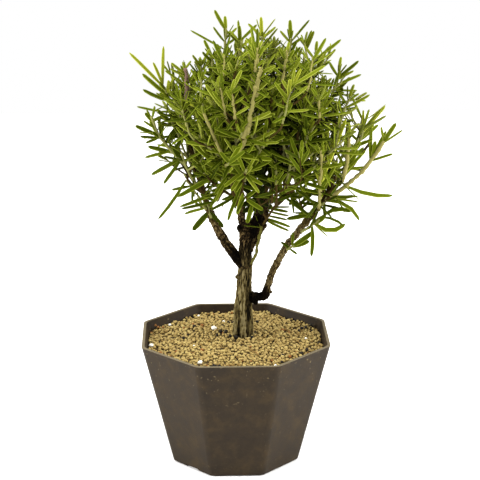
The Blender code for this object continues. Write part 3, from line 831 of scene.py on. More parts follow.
def barkOfAge():
    # Old rosemary wood: grey-tan corky ridges with black fissures along the grain on the trunk,
    # flaking dark red-brown bark at the forks, and smoother brown bark out along the boughs. The forks are darker
    # still with painted shade under the crown, and the trunk's sides carry painted shade and its front painted light.
    made, tree, shader = newMaterial("rosemaryBark", 0.9, ior=1.4)
    shader.inputs["Specular IOR Level"].default_value = 0.03
    relief = addNode(tree, "Attribute", {"attribute_name": "relief"}).outputs["Fac"]
    age = addNode(tree, "Attribute", {"attribute_name": "age"}).outputs["Fac"]
    grain = addNode(tree, "Attribute", {"attribute_name": "grainPlace"}).outputs["Vector"]
    streaks = addNode(tree, "TexNoise", {"Scale": 1700, "Detail": 5, "Roughness": 0.7}, {"Vector": grain})
    patches = addNode(tree, "TexNoise", {"Scale": 320, "Detail": 3}, {"Vector": grain})
    fine = addNode(tree, "Math", {"operation": "MULTIPLY_ADD", 1: 0.7, 2: -0.35}, {0: streaks.outputs["Fac"]})
    broad = addNode(tree, "Math", {"operation": "MULTIPLY_ADD", 1: 0.8, 2: -0.4}, {0: patches.outputs["Fac"]})
    both = addNode(tree, "Math", {"operation": "ADD"}, {0: fine.outputs["Value"], 1: broad.outputs["Value"]})
    level = addNode(tree, "Math", {"operation": "ADD"}, {0: relief, 1: both.outputs["Value"]}).outputs["Value"]
    ramps = {
        "trunk": [(0.16, "#0d0a04"), (0.40, "#362d18"), (0.68, "#5a4f2e"), (0.96, "#776c4b")],
        # the fork's near-black is partly darker bark and partly painted shade under the crown
        "fork": [(0.26, "#040302"), (0.55, "#150f07"), (0.82, "#342815"), (1.0, "#5c4c30")],
        "bough": [(0.15, "#170f07"), (0.42, "#352a15"), (0.68, "#574a2c"), (0.95, "#6e6140")],
    }
    shades = {}
    for name, stops in ramps.items():
        shades[name] = addNode(tree, "ValToRGB", {"stops": stops}, {"Fac": level}).outputs["Color"]
    falling = {"From Min": 0.0, "From Max": 0.5, "To Min": 1.0, "To Max": 0.0}
    oldShare = addNode(tree, "MapRange", {"From Min": 0.5, "From Max": 1.0}, {"Value": age}).outputs["Result"]
    boughShare = addNode(tree, "MapRange", falling, {"Value": age}).outputs["Result"]
    older = addNode(tree, "Mix", {"data_type": "RGBA"}, {0: oldShare, 6: shades["fork"], 7: shades["trunk"]})
    colour = addNode(tree, "Mix", {"data_type": "RGBA"}, {0: boughShare, 6: older.outputs[2], 7: shades["bough"]})
    bump = addNode(tree, "Bump", {"Strength": 0.7, "Distance": 0.0004}, {"Height": streaks.outputs["Fac"]})
    tree.links.new(colour.outputs[2], shader.inputs["Base Color"])
    tree.links.new(bump.outputs["Normal"], shader.inputs["Normal"])
    return made


# how old the bark looks from the foot of each limb to its tip: 1 furrowed trunk, 0.5 dark fork, partly painted shade
# under the crown, 0 bough
barkAge = {
    "trunk": ((0.0, 1.0), (0.40, 1.0), (0.62, 0.88), (0.80, 0.66), (1.0, 0.5)),
    "right_leader": ((0.0, 0.5), (1.0, 0.42)),
    "centre_leader": ((0.0, 0.5), (1.0, 0.35)),
    "left_bough": ((0.0, 0.5), (0.30, 0.47), (0.65, 0.32), (1.0, 0.12)),
    "low_bough_foot": ((0.0, 0.5), (1.0, 0.46)),
    "low_bough": ((0.0, 0.40), (0.25, 0.16), (1.0, 0.0)),
    "side_shoot": ((0.0, 0.35), (1.0, 0.2)),
    "back_left_bough": ((0.0, 0.5), (0.3, 0.3), (1.0, 0.0)),
    "back_right_bough": ((0.0, 0.5), (0.3, 0.3), (1.0, 0.0)),
}


def alongLimbs(places, courses):
    # for each corner, its place across and along the nearest limb, the bark's age there, and whether it is the trunk
    count = len(places)
    best = np.full(count, 1e9)
    grain, age, onTrunk = np.zeros((count, 3)), np.zeros(count), np.zeros(count)
    for i, (name, (points, radii, length)) in enumerate(courses.items()):
        spots = np.array(points)
        away = ((places[:, None, :] - spots[None]) ** 2).sum(axis=2)
        k = away.argmin(axis=1)
        clear = np.sqrt(away[np.arange(count), k]) - np.array(radii)[k]
        mine = clear < best
        best[mine] = clear[mine]
        off = places - spots[k]
        along, across, third = (np.array([ring[j] for ring in frames(points)])[k] for j in range(3))
        reached = k * length / (len(points) - 1) + (off * along).sum(axis=1)
        found = np.stack([(off * across).sum(axis=1), (off * third).sum(axis=1), reached + i], axis=1)
        grain[mine] = found[mine]
        stops = np.array(barkAge[name])
        age[mine] = np.interp(reached / length, stops[:, 0], stops[:, 1])[mine]
        onTrunk[mine] = 1.0 if name == "trunk" else 0.0
    return grain, age, onTrunk


def fissuresAt(grain, stretch, age):
    # the relief of ridges and fissures, and how far each corner moves out
    relief, push = np.empty(len(grain)), np.empty(len(grain))
    contrast, fineShare = bark["fissureContrast"], bark["fineShare"]
    for n, (x, y, s) in enumerate(grain):
        spot = Vector((x, y, s * stretch[n])) / bark["fissureWidth"]
        coarse = min(1.0, abs(noise.noise(spot)) * contrast)
        fine = min(1.0, abs(noise.noise(spot * bark["fineScale"] + Vector((5, 1, 9)))) * contrast)
        place = Vector((x, y, s)) / bark["lumpSize"]
        lump = noise.noise(place) * 0.6 + noise.noise(place * 2.4) * 0.4
        relief[n] = (1 - fineShare) * coarse + fineShare * fine
        depth = blend(bark["fissureDepth"], age[n])
        push[n] = (relief[n] - bark["ridgeLevel"]) * depth + lump * blend(bark["lumpDepth"], age[n])
        relief[n] += lump * 0.25
    return relief, push


def carve(mesh, courses):
    # raises ridges and sinks fissures along each limb, and stores what the bark's material reads
    count = len(mesh.vertices)
    places, normals = np.empty(count * 3), np.empty(count * 3)
    mesh.vertices.foreach_get("co", places)
    mesh.vertices.foreach_get("normal", normals)
    places, normals = places.reshape(-1, 3), normals.reshape(-1, 3)
    grain, age, onTrunk = alongLimbs(places, courses)
    stretch = blend(bark["fissureStretch"], onTrunk)
    relief, push = fissuresAt(grain, stretch, age)
    foot = trunk["foot"]
    high = places[:, 2] - foot.z
    turn = np.arctan2(places[:, 1] - foot.y, places[:, 0] - foot.x)

    def onSide(heading, breadth):
        apart = np.abs((np.degrees(turn) - heading + 180) % 360 - 180)
        return np.exp(-((apart / breadth) ** 2))

    heading, breadth, depth, height = bark["split"]
    split = onSide(heading, breadth) * np.clip(1 - high / height, 0, 1) * onTrunk
    lobes = np.cos(4 * turn + 0.6) * np.exp(-((high / bark["lobeHeight"]) ** 2))
    push += bark["lobes"] * lobes * onTrunk - depth * split
    # the split's dark colour is painted shade in its recess
    relief -= 0.8 * split
    # painted shade on the trunk's sides and painted light down its front
    for heading, breadth, paler in bark["sides"]:
        relief += paler * onSide(heading, breadth) * onTrunk
    # painted shade in the forks and under the low bough
    for place, radius in paintedShadePatches:
        relief -= 0.7 * np.exp(-((places - np.array(place)) ** 2).sum(axis=1) / radius ** 2)
    places += normals * push[:, None]
    places[:, 2] = np.maximum(places[:, 2], foot.z - bark["inSoil"])
    mesh.vertices.foreach_set("co", places.ravel())
    grain[:, 2] *= stretch
    for name, kind, field, values in (
        ("relief", "FLOAT", "value", relief),
        ("age", "FLOAT", "value", age),
        ("grainPlace", "FLOAT_VECTOR", "vector", grain),
    ):
        mesh.attributes.new(name, kind, "POINT").data.foreach_set(field, values.astype(np.float32).ravel())
    mesh.update()


def dropHollows(mesh):
    # where limbs cross, the remesh can leave a closed hollow inside: only what joins the lowest corner stays
    bm = bmesh.new()
    bm.from_mesh(mesh)
    waiting = [min(bm.verts, key=lambda vert: vert.co.z)]
    reached = set(waiting)
    while waiting:
        vert = waiting.pop()
        for edge in vert.link_edges:
            other = edge.other_vert(vert)
            if other not in reached:
                reached.add(other)
                waiting.append(other)
    bmesh.ops.delete(bm, geom=[vert for vert in bm.verts if vert not in reached], context="VERTS")
    bm.to_mesh(mesh)
    bm.free()


def makeBark():
    bm = bmesh.new()
    courses = {}
    for i, (name, path) in enumerate(limbs.items()):
        length = pathLength(path)
        crook = bark["crook"] * (0.5 if name == "trunk" else 1.0)
        points = strayed(alongPath(path, round(length / bark["ringStep"])), crook, i * 7.3)
        last = len(points) - 1
        if name == "trunk":
            points[0] = trunk["foot"] - Vector((0, 0, 0.0004))
            radii = [trunkRadius(k / last) for k in range(last + 1)]
        else:
            collar = bark["collars"].get(name, bark["collar"])
            foot, tip = boughs[name]["radius"]
            tip *= bark["swollen"].get(name, 1)
            radii = [
                blend((foot, tip), k / last) + collar * math.exp(-k * bark["ringStep"] / bark["collarLength"])
                for k in range(last + 1)
            ]
        courses[name] = (points, radii, length)
        addTube(bm, points, radii, bark["corners"])
    for place, heading, climb, length, radius in snags.values():
        foot = Vector(place)
        tip = foot + towards(heading, climb) * length
        radii = [radius * share for share in bark["snagShares"]]
        addTube(bm, [foot, foot.lerp(tip, 0.6), tip], radii, bark["snagSides"])
    bmesh.ops.recalc_face_normals(bm, faces=bm.faces)
    rough = bpy.data.objects.new("roughBark", meshOf(bm, "roughBark"))
    bpy.context.scene.collection.objects.link(rough)
    remesh = rough.modifiers.new("oneSkin", "REMESH")
    remesh.mode, remesh.voxel_size = "VOXEL", bark["voxel"]
    soften = rough.modifiers.new("soften", "SMOOTH")
    soften.factor, soften.iterations = bark["softening"]
    mesh = applied(rough)
    dropHollows(mesh)
    carve(mesh, courses)
    mesh.shade_smooth()
    addPiece("bark", mesh, [barkOfAge()], ["trunk", *boughs])
    print("bark faces", len(mesh.polygons))


makeBark()
print("bark made")


# ---- shoots: the same rule as the solids, carried on to side shoots

shoots = {
    "tipAllowance": 0.010,  # how far the last needles reach past their shoot
    "runs": 0.040,
    "upturn": 1.1,
    "bow": 0.08,
    "steps": 10,
    "parentRadius": (0.00095, 0.00060),
    "sideRadius": (0.00070, 0.00050),
    "leadRadius": (0.00085, 0.00055),
    "sideShares": (0.42, 0.62, 0.80),
    "sideChance": 0.62,
    "sideLength": (0.014, 0.026),
    "sideOpening": (34, 58),
    "cutShare": 0.28,  # of the shoots end in a pruned stump
    "sides": 6,
    "firstStart": 0.006,  # how far up its stem the lowest shoot starts
    "starts": 24,
    "leafyEnd": 0.036,  # how much of a shoot's end carries needles
    "leastBare": 0.25,
    "sideLift": 0.35,  # how far side shoots turn up
    "sideBow": 0.10,
    "sideSteps": 6,
    "sideBare": 0.16,
    "shortestSide": 0.009,
    "leadBelow": 0.012,  # how far below its foot a lead's root is looked for
    "leadSteps": 14,
    "leadYoung": 0.3,
}

# shoots on the front of the crown that stand out in the photograph, from foot to tip, in millimetres
leadingShoots = {
    "besideCrest": dict(path=((-8, -40, 256), (-7, -28, 268)), young=0.2, cut=True, stout=0.7),
    "topStem": dict(path=((9, -46, 254), (11, -36, 267), (13, -25, 275)), young=0.4, cut=True),
    "middleLeft": dict(path=((-7, -48, 238), (-10, -49, 251)), young=0.3, cut=True, stout=0.7),
    "leftOfMiddle": dict(path=((-18, -44, 232), (-22, -43, 246), (-21, -34, 256)), young=0.3),
    "leftMiddle": dict(path=((-26, -44, 218), (-31, -42, 232), (-34, -34, 243)), young=0.3, stout=0.7),
    "topRightOuter": dict(path=((42, -44, 248), (44, -37, 260), (45, -29, 267)), young=0.35, cut=True, stout=0.7),
}

# sprays that the photograph shows needle by needle, in its own pixels: the shoot from foot to tip, then each needle's
# root, tip, share of the usual width, age (0 old, 4 young, 5 the dark kind of painted shade) and, where it shows, how
# far it curls clockwise.
# depth and tipDepth are y in millimetres at the shoot's foot and tip, and swing is the power by which one passes into
# the other. A footed or rooted shoot starts at its own foot, the rest grow on from the nearest stem. bare is the share
# without needles, and thinned the share of the needles that are left out between those listed.
seenSprays = {
    "crest": dict(depth=2, path=((223, 72), (225, 48), (226, 28)), needles=(
        (225, 30, 214, 10, 1.1, 2), (230, 31, 225, 16, 1.0, 3), (223, 42, 213, 27, 0.7, 2), (223, 50, 190, 31, 0.7, 2),
        (228, 30, 246, 50, 0.9, 2), (226, 38, 237, 28, 0.8, 3), (225, 46, 236, 38, 0.8, 2))),
    "leftOfCrest": dict(depth=-6, path=((214, 84), (213, 68), (211, 52)), needles=(
        (211, 54, 204, 40, 0.9, 2), (212, 58, 222, 46, 0.9, 2), (212, 62, 202, 52, 0.9, 1),
        (213, 68, 224, 58, 0.9, 1))),
    "crestRight": dict(depth=0, path=((237, 70), (240, 50), (240, 38)), needles=(
        (240, 44, 239, 25, 1.1, 2), (241, 41, 257, 25, 0.9, 2), (240, 42, 229, 31, 0.8, 3),
        (241, 48, 253, 37, 0.9, 3))),
    "topMiddle": dict(depth=-2, path=((261, 62), (262, 48), (262, 36)), needles=(
        (262, 38, 261, 17, 1.0, 4), (260, 37, 248, 24, 0.9, 3), (265, 38, 276, 27, 0.8, 3),
        (263, 38, 271, 30, 0.7, 4))),
    "topRight": dict(depth=0, path=((288, 64), (290, 50), (291, 38)), needles=(
        (291, 38, 290, 20, 1.1, 2), (292, 42, 310, 20, 0.7, 1), (290, 43, 280, 31, 0.8, 3), (291, 46, 302, 38, 0.9, 2),
        (289, 56, 297, 41, 0.9, 1), (289, 60, 301, 47, 0.9, 1), (288, 62, 296, 52, 0.9, 2))),
    "topOuter": dict(depth=2, path=((310, 76), (315, 62), (316, 50)), needles=(
        (318, 60, 341, 40, 1.0, 2), (314, 53, 317, 41, 0.9, 3), (316, 56, 323, 44, 0.9, 3),
        (315, 60, 304, 46, 0.9, 3))),
    "rightUpper": dict(depth=4, path=((328, 104), (335, 88), (339, 70)), needles=(
        (338, 78, 359, 61, 1.0, 1), (338, 80, 354, 71, 0.8, 3), (339, 87, 361, 75, 0.9, 2), (337, 90, 357, 91, 0.7, 2),
        (339, 72, 341, 57, 0.9, 3), (338, 76, 329, 62, 0.9, 2))),
    "rightArch": dict(depth=2, path=((338, 124), (345, 108), (351, 94)), needles=(
        (351, 94, 364, 124, 0.8, 2), (350, 110, 370, 95, 0.9, 3), (350, 98, 354, 84, 0.9, 3),
        (347, 104, 338, 92, 0.9, 2))),
    "rightYoung": dict(depth=0, path=((350, 164), (358, 146), (363, 130)), needles=(
        (363, 133, 385, 106, 1.1, 4), (362, 131, 382, 108, 0.9, 3), (362, 128, 369, 109, 0.8, 3),
        (361, 126, 363, 110, 0.8, 4), (359, 142, 347, 131, 0.9, 2), (357, 146, 373, 139, 0.9, 2),
        (356, 148, 340, 138, 0.8, 2), (358, 140, 374, 124, 0.9, 3))),
    "rightArm": dict(
        depth=-2, path=((327, 197), (340, 191), (352, 182), (362, 172), (370, 163), (377, 152), (384, 141)), pale=True,
        stout=1.9, thinned=1.0, needles=(
            (382, 145, 396, 123, 1.3, 2), (382, 137, 381, 127, 0.8, 3), (380, 142, 403, 130, 0.6, 3),
            (371, 162, 393, 154, 0.8, 2), (370, 160, 371, 128, 1.1, 2), (370, 161, 386, 131, 0.9, 2),
            (364, 166, 338, 170, 0.9, 2), (350, 189, 392, 196, 1.3, 2, -0.30), (373, 158, 375, 141, 1.3, 2),
            (362, 171, 350, 168, 0.8, 2))),
    "rightStem": dict(
        depth=0, tipDepth=-40, swing=0.6, path=((319, 209), (319, 192), (321, 174), (322, 164), (320, 148)), pale=True,
        footed=True, bare=0.0, stout=1.25, needles=(
            (318, 152, 306, 128, 1.2, 2), (320, 156, 323, 134, 0.9, 4), (316, 150, 302, 131, 0.8, 4),
            (322, 160, 334, 138, 1.3, 4), (326, 152, 346, 118, 1.4, 4), (324, 150, 329, 124, 1.0, 4),
            (321, 168, 338, 160, 0.9, 2), (320, 176, 306, 166, 1.0, 1), (320, 186, 296, 188, 1.1, 1))),
    "rightInner": dict(
        depth=-1, tipDepth=-20, swing=0.8,
        path=((327, 194), (342, 183), (345, 176), (347, 164), (348, 150), (349, 138)), pale=True, footed=True, bare=0.3,
        stout=1.6, needles=(
            (348, 140, 350, 124, 0.9, 3), (346, 150, 360, 141, 0.9, 2), (346, 158, 334, 148, 0.9, 2),
            (345, 168, 358, 150, 1.0, 2), (346, 162, 366, 150, 0.9, 2), (344, 172, 330, 166, 0.9, 1))),
    "lowBoughEnd": dict(depth=0, path=((316, 214), (322, 205), (327, 197)), stout=1.3, thinned=0.85, needles=(
        (327, 203, 359, 221, 1.2, 2, 0.80), (324, 192, 354, 196, 1.1, 1, -0.16), (328, 197, 358, 202, 0.6, 3),
        (315, 211, 287, 219, 1.35, 1), (311, 210, 294, 213, 0.7, 1), (318, 203, 303, 198, 0.9, 1),
        (316, 202, 300, 203, 0.9, 0), (326, 203, 325, 217, 1.0, 0), (310, 211, 314, 203, 1.0, 0),
        (324, 206, 341, 209, 0.8, 0), (322, 200, 338, 196, 0.9, 0))),
    "beforeLowBough": dict(depth=2, path=((306, 220), (302, 207), (297, 195)), woody=True, needles=(
        (303, 209, 292, 200, 1.0, 0), (300, 203, 312, 194, 1.0, 0), (298, 198, 286, 194, 1.1, 0),
        (298, 198, 306, 184, 1.0, 1), (302, 208, 310, 200, 0.9, 0), (297, 196, 289, 205, 1.0, 0),
        (304, 213, 297, 219, 0.8, 1))),
    "lowNode": dict(
        depth=0, path=((286, 250), (290, 248), (294, 245)), footed=True, bare=0.0, stout=0.9, thinned=1.0, needles=(
            (293, 248, 313, 232, 1.5, 1, -0.08), (294, 249, 309, 241, 1.4, 1, -0.12), (293, 247, 293, 232, 0.8, 1),
            (290, 250, 297, 254, 0.7, 1), (289, 247, 281, 242, 0.8, 0))),
    "lowSprig": dict(
        depth=-4, path=((300, 233), (309, 227), (316, 223), (324, 215)), footed=True, bare=0.0, stout=1.1, thinned=1.0,
        needles=(
            (319, 228, 345, 224, 1.4, 2, -0.95), (324, 220, 344, 227, 0.8, 1, 0.50), (316, 232, 311, 256, 1.2, 1, 0.16),
            (316, 229, 325, 216, 1.6, 1), (324, 216, 351, 212, 1.3, 1, 0.66), (318, 230, 328, 237, 0.4, 3))),
    "leftYoung": dict(depth=0, path=((180, 116), (170, 100), (162, 84)), needles=(
        (162, 88, 129, 53, 0.95, 4), (166, 97, 142, 74, 1.2, 2), (162, 87, 153, 62, 0.8, 4), (162, 86, 164, 46, 0.9, 4),
        (166, 104, 143, 90, 1.1, 1, 0.16), (169, 94, 174, 77, 0.9, 4), (168, 94, 169, 80, 1.1, 4))),
    "purple": dict(depth=-8, path=((187, 104), (187, 84), (185, 68)), purple=True, stout=1.8, needles=(
        (187, 69, 191, 61, 0.7, 3), (184, 75, 171, 63, 0.9, 3), (184, 76, 170, 69, 0.8, 3), (185, 86, 165, 71, 0.7, 2),
        (186, 74, 184, 63, 0.8, 2), (187, 84, 196, 72, 0.9, 2))),
    "leftUpper": dict(depth=-4, path=((201, 96), (201, 80), (201, 66)), needles=(
        (200, 66, 192, 55, 0.8, 3), (201, 66, 210, 49, 0.9, 3), (201, 66, 200, 57, 0.7, 3), (201, 72, 218, 50, 0.8, 3),
        (201, 78, 190, 70, 0.9, 2))),
    "leftSlant": dict(depth=-30, path=((188, 130), (184, 115), (180, 99)), pale=True, stout=1.0, needles=(
        (182, 105, 173, 101, 0.8, 2), (183, 111, 191, 100, 0.9, 2), (186, 119, 197, 110, 0.9, 1),
        (185, 118, 170, 121, 0.8, 1))),
    "slantTop": dict(depth=-50, path=((226, 120), (224, 106), (220, 88)), pale=True, stout=1.0, needles=(
        (224, 111, 205, 84, 1.2, 3), (222, 104, 212, 91, 0.9, 2), (221, 98, 228, 87, 0.8, 2),
        (224, 112, 232, 102, 0.8, 1), (225, 116, 214, 116, 0.8, 1))),
    "slant": dict(
        depth=3, tipDepth=-52, swing=0.4,
        path=((239, 209), (233, 192), (231, 178), (228, 163), (220, 150), (214, 139), (208, 124), (203, 112)),
        pale=True, footed=True, bare=0.36, stout=1.35, needles=(
            (216, 137, 197, 142, 1.0, 3), (213, 136, 200, 132, 0.9, 1), (200, 138, 175, 127, 1.0, 2),
            (216, 161, 192, 164, 1.0, 2, -0.06), (200, 155, 191, 157, 0.8, 2), (207, 118, 218, 108, 0.9, 2),
            (206, 116, 195, 112, 0.8, 2), (210, 127, 222, 126, 0.9, 1), (203, 114, 199, 96, 1.5, 2),
            (204, 116, 191, 121, 0.9, 1), (220, 150, 208, 153, 0.8, 1), (223, 156, 234, 152, 0.8, 2),
            (203, 106, 210, 92, 0.9, 2), (202, 104, 196, 92, 0.9, 1))),
    "middleStem": dict(depth=-54, path=((236, 122), (234, 108), (231, 92)), pale=True, stout=1.0, needles=(
        (231, 89, 242, 70, 1.0, 3), (230, 92, 235, 79, 0.9, 3), (232, 93, 241, 87, 1.0, 1),
        (235, 115, 249, 107, 0.8, 3), (233, 101, 226, 90, 0.9, 2), (235, 112, 226, 106, 0.8, 1),
        (234, 104, 244, 97, 0.8, 2))),
    "middleTop": dict(depth=-44, path=((232, 88), (235, 74), (238, 60)), woody=True, needles=(
        (235, 72, 241, 56, 1.0, 3), (241, 60, 250, 51, 0.8, 3), (233, 76, 228, 62, 0.9, 3), (232, 80, 222, 70, 0.8, 2),
        (236, 72, 246, 64, 0.8, 2), (234, 80, 244, 76, 0.8, 1), (232, 84, 221, 82, 0.8, 1))),
    # three stubs, each cut above the shoot that carried on
    "spineFoot": dict(
        depth=-37, tipDepth=-52, swing=0.6, path=((228, 164), (236, 157), (241, 150), (245, 141), (249, 127)),
        pale=True, footed=True, bare=0.12, stout=1.5, cut=True, needles=(
            (243, 147, 224, 138, 0.8, 3), (248, 134, 275, 131, 1.1, 3, -0.06), (249, 135, 279, 143, 0.9, 3, 0.10),
            (242, 149, 272, 154, 1.2, 2), (242, 151, 272, 160, 1.5, 2, 0.06), (240, 146, 229, 156, 0.9, 1),
            (248, 143, 256, 149, 0.9, 2), (247, 133, 236, 122, 0.9, 2))),
    "spine": dict(
        depth=-50, tipDepth=-52, path=((243, 140), (248, 128), (250, 117), (253, 103), (255, 86)), pale=True,
        footed=True, bare=0.06, stout=1.7, cut=True, needles=(
            (255, 91, 249, 82, 0.8, 3), (251, 121, 275, 114, 1.1, 3), (250, 121, 271, 112, 1.1, 3, -0.06),
            (256, 103, 265, 111, 0.8, 2), (252, 108, 240, 100, 0.9, 2), (254, 100, 262, 96, 0.8, 1),
            (250, 118, 241, 128, 0.9, 1), (254, 94, 246, 98, 0.8, 2))),
    "spineTop": dict(
        depth=-50, path=((253, 104), (256, 92), (258, 80), (261, 67)), pale=True, footed=True, bare=0.2, stout=1.7,
        cut=True, needles=(
            (257, 93, 270, 79, 1.1, 3), (258, 80, 266, 70, 0.8, 2), (258, 84, 250, 74, 0.8, 2),
            (260, 76, 270, 84, 0.8, 1))),
    "spineTwin": dict(depth=-46, path=((254, 84), (255, 68), (258, 54)), pale=True, stout=1.5, cut=True, needles=(
        (256, 58, 264, 46, 0.9, 2), (256, 60, 248, 50, 0.9, 2), (255, 68, 246, 60, 0.9, 1), (255, 68, 264, 60, 0.9, 2),
        (261, 76, 276, 66, 1.0, 3))),
    "rightTopStem": dict(depth=-40, path=((282, 84), (285, 66), (287, 50)), pale=True, stout=1.1, needles=(
        (286, 62, 294, 50, 0.9, 2), (286, 60, 279, 48, 0.9, 2), (285, 70, 275, 60, 0.9, 1), (284, 72, 294, 64, 0.9, 1),
        (287, 52, 289, 42, 0.8, 3))),
    "yellowTuft": dict(depth=-56, path=((284, 126), (285, 114), (288, 100), (291, 86)), stout=0.7, needles=(
        (288, 99, 290, 79, 1.0, 4), (291, 90, 295, 68, 0.7, 3), (292, 90, 301, 69, 0.8, 4, -0.06),
        (300, 80, 325, 66, 1.0, 3), (291, 101, 308, 86, 0.9, 3), (286, 101, 274, 82, 0.9, 2),
        (288, 98, 279, 88, 0.8, 3), (288, 111, 309, 110, 0.8, 3), (289, 92, 282, 80, 0.9, 3),
        (287, 108, 276, 104, 0.8, 2))),
    "rightOfSpine": dict(
        depth=-34, path=((268, 126), (271, 110), (272, 94), (272, 82)), woody=True, thinned=0.1, needles=(
            (271, 112, 261, 96, 1.0, 1), (271, 110, 284, 96, 1.1, 2), (272, 100, 262, 88, 1.0, 2),
            (272, 98, 283, 86, 1.0, 1), (272, 90, 266, 76, 0.9, 2), (272, 90, 280, 76, 0.9, 2),
            (270, 118, 284, 110, 1.1, 1), (270, 120, 258, 110, 1.0, 0), (272, 106, 276, 90, 1.0, 2),
            (271, 104, 260, 104, 0.9, 1))),
    "rightOfMiddle": dict(depth=-30, path=((298, 136), (302, 120), (305, 104)), woody=True, thinned=0.1, needles=(
        (302, 122, 292, 108, 1.1, 1), (302, 120, 314, 108, 1.0, 1), (304, 112, 298, 96, 1.0, 2),
        (304, 110, 314, 96, 1.0, 2), (300, 130, 288, 122, 1.1, 0), (300, 130, 314, 124, 1.0, 1),
        (305, 106, 306, 92, 0.9, 2))),
    "rightStub": dict(depth=-44, path=((321, 120), (319, 106), (318, 95)), pale=True, stout=1.0, cut=True, needles=(
        (318, 98, 311, 88, 0.9, 2), (319, 100, 328, 92, 0.9, 2), (320, 110, 308, 108, 0.9, 1),
        (320, 114, 332, 108, 0.9, 2))),
    "darkRight": dict(depth=-46, path=((304, 184), (301, 168), (298, 152)), woody=True, stout=0.5, needles=(
        (300, 164, 290, 137, 1.1, 1), (301, 174, 289, 156, 1.0, 1), (300, 166, 309, 150, 0.9, 1),
        (300, 162, 302, 140, 1.0, 2), (299, 158, 284, 150, 0.9, 0), (302, 176, 314, 168, 0.9, 1),
        (302, 178, 288, 172, 0.9, 0))),
    # needles of the painted-shade kind, set as a dark backing to the shaded hollow behind the leader
    "paintedShadeBacking": dict(depth=-4, path=((257, 204), (258, 187), (262, 166)), woody=True, needles=(
        (256, 198, 243, 188, 1.4, 5), (257, 192, 244, 179, 1.4, 5), (258, 186, 250, 171, 1.4, 5),
        (259, 180, 271, 186, 1.3, 5), (258, 192, 270, 196, 1.3, 5), (257, 200, 245, 204, 1.3, 5),
        (262, 172, 254, 160, 1.3, 5), (262, 170, 268, 157, 1.3, 5), (258, 200, 268, 206, 1.3, 5),
        (257, 202, 247, 211, 1.3, 5), (260, 182, 264, 162, 1.6, 5), (259, 180, 258, 158, 1.6, 5),
        (261, 178, 270, 162, 1.6, 5), (260, 184, 274, 178, 1.6, 5), (257, 192, 246, 196, 1.6, 5),
        (256, 204, 262, 214, 1.5, 5), (257, 200, 250, 213, 1.5, 5), (258, 190, 246, 184, 1.6, 5),
        (257, 204, 243, 212, 1.6, 5), (257, 198, 242, 206, 1.6, 5), (258, 188, 266, 174, 1.6, 5),
        (258, 192, 262, 178, 1.6, 5), (257, 198, 264, 186, 1.6, 5))),
    "leftHigh": dict(depth=2, path=((180, 132), (170, 120), (158, 110)), thinned=0.6, needles=(
        (160, 112, 137, 107, 0.7, 2), (164, 116, 150, 122, 0.9, 2), (181, 123, 157, 110, 1.3, 2),
        (180, 122, 161, 125, 0.9, 1), (178, 128, 168, 143, 1.1, 0))),
    "leftArm": dict(depth=-2, path=((190, 172), (181, 160), (168, 147), (157, 136), (151, 116)), stout=1.3, needles=(
        (158, 137, 135, 126, 1.3, 1), (160, 139, 140, 137, 0.9, 1), (158, 138, 146, 143, 0.9, 1),
        (153, 122, 145, 113, 1.1, 1), (171, 156, 148, 147, 1.3, 1), (169, 154, 145, 158, 1.0, 2),
        (176, 162, 152, 175, 1.3, 1), (178, 163, 164, 184, 1.1, 1), (152, 118, 155, 106, 0.8, 2),
        (162, 140, 159, 119, 1.1, 2), (166, 143, 176, 128, 1.2, 0), (174, 150, 184, 136, 1.2, 0),
        (158, 134, 150, 120, 1.2, 2), (160, 138, 164, 122, 0.9, 1), (178, 160, 172, 146, 1.1, 0),
        (184, 160, 176, 150, 1.1, 0), (160, 138, 152, 132, 1.0, 1))),
    "leftLow": dict(depth=-24, path=((214, 206), (222, 186), (224, 166)), needles=(
        (222, 169, 178, 197, 1.4, 1), (225, 169, 224, 189, 1.1, 2), (222, 167, 192, 165, 1.0, 1),
        (218, 190, 180, 207, 1.0, 1), (214, 202, 182, 209, 0.9, 0), (222, 190, 210, 208, 0.9, 1))),
    "leftLowest": dict(depth=2, path=((205, 210), (200, 198), (186, 180)), needles=(
        (186, 180, 159, 219, 1.0, 1, 0.10), (203, 210, 185, 214, 0.9, 2, -0.15), (190, 186, 172, 190, 0.9, 1))),
    "leftBoughPair": dict(depth=4, path=((211, 219), (209, 212), (207, 204)), needles=(
        (209, 212, 193, 230, 1.7, 0), (211, 211, 223, 227, 1.4, 0))),
    "overFoot": dict(
        depth=-57, path=((226, 166), (228, 164), (230, 162)), footed=True, bare=0.0, thinned=1.0, stout=0.6, needles=(
            (229, 163, 242, 143, 1.3, 2), (228, 164, 245, 151, 1.2, 1), (229, 163, 220, 152, 1.0, 1),
            (228, 164, 240, 163, 1.1, 1))),
    "underFront": dict(
        depth=-40, path=((255, 210), (244, 199), (241, 186), (243, 172)), woody=True, thinned=0.9, stout=0.6, needles=(
            (253, 203, 247, 223, 1.3, 1, 0.04), (228, 165, 224, 187, 1.1, 2), (241, 173, 231, 191, 1.1, 2),
            (240, 180, 237, 197, 0.9, 0), (243, 172, 235, 178, 0.9, 2), (244, 172, 259, 193, 1.0, 3, 0.08),
            (243, 173, 263, 185, 1.1, 2), (230, 195, 237, 214, 1.2, 2), (242, 199, 237, 212, 0.9, 0),
            (243, 198, 255, 202, 1.0, 0), (243, 199, 256, 190, 1.0, 1), (257, 193, 263, 210, 1.2, 1),
            (242, 186, 256, 190, 0.9, 0), (244, 172, 271, 161, 1.0, 1), (241, 174, 222, 168, 1.0, 1),
            (250, 163, 262, 168, 1.0, 2))),
    "underLeft": dict(
        depth=-34, path=((237, 203), (232, 193), (231, 178), (232, 164)), woody=True, thinned=0.8, needles=(
            (230, 200, 211, 210, 0.9, 0), (231, 196, 222, 200, 0.8, 0), (232, 180, 216, 186, 0.8, 1),
            (231, 168, 217, 163, 0.9, 2))),
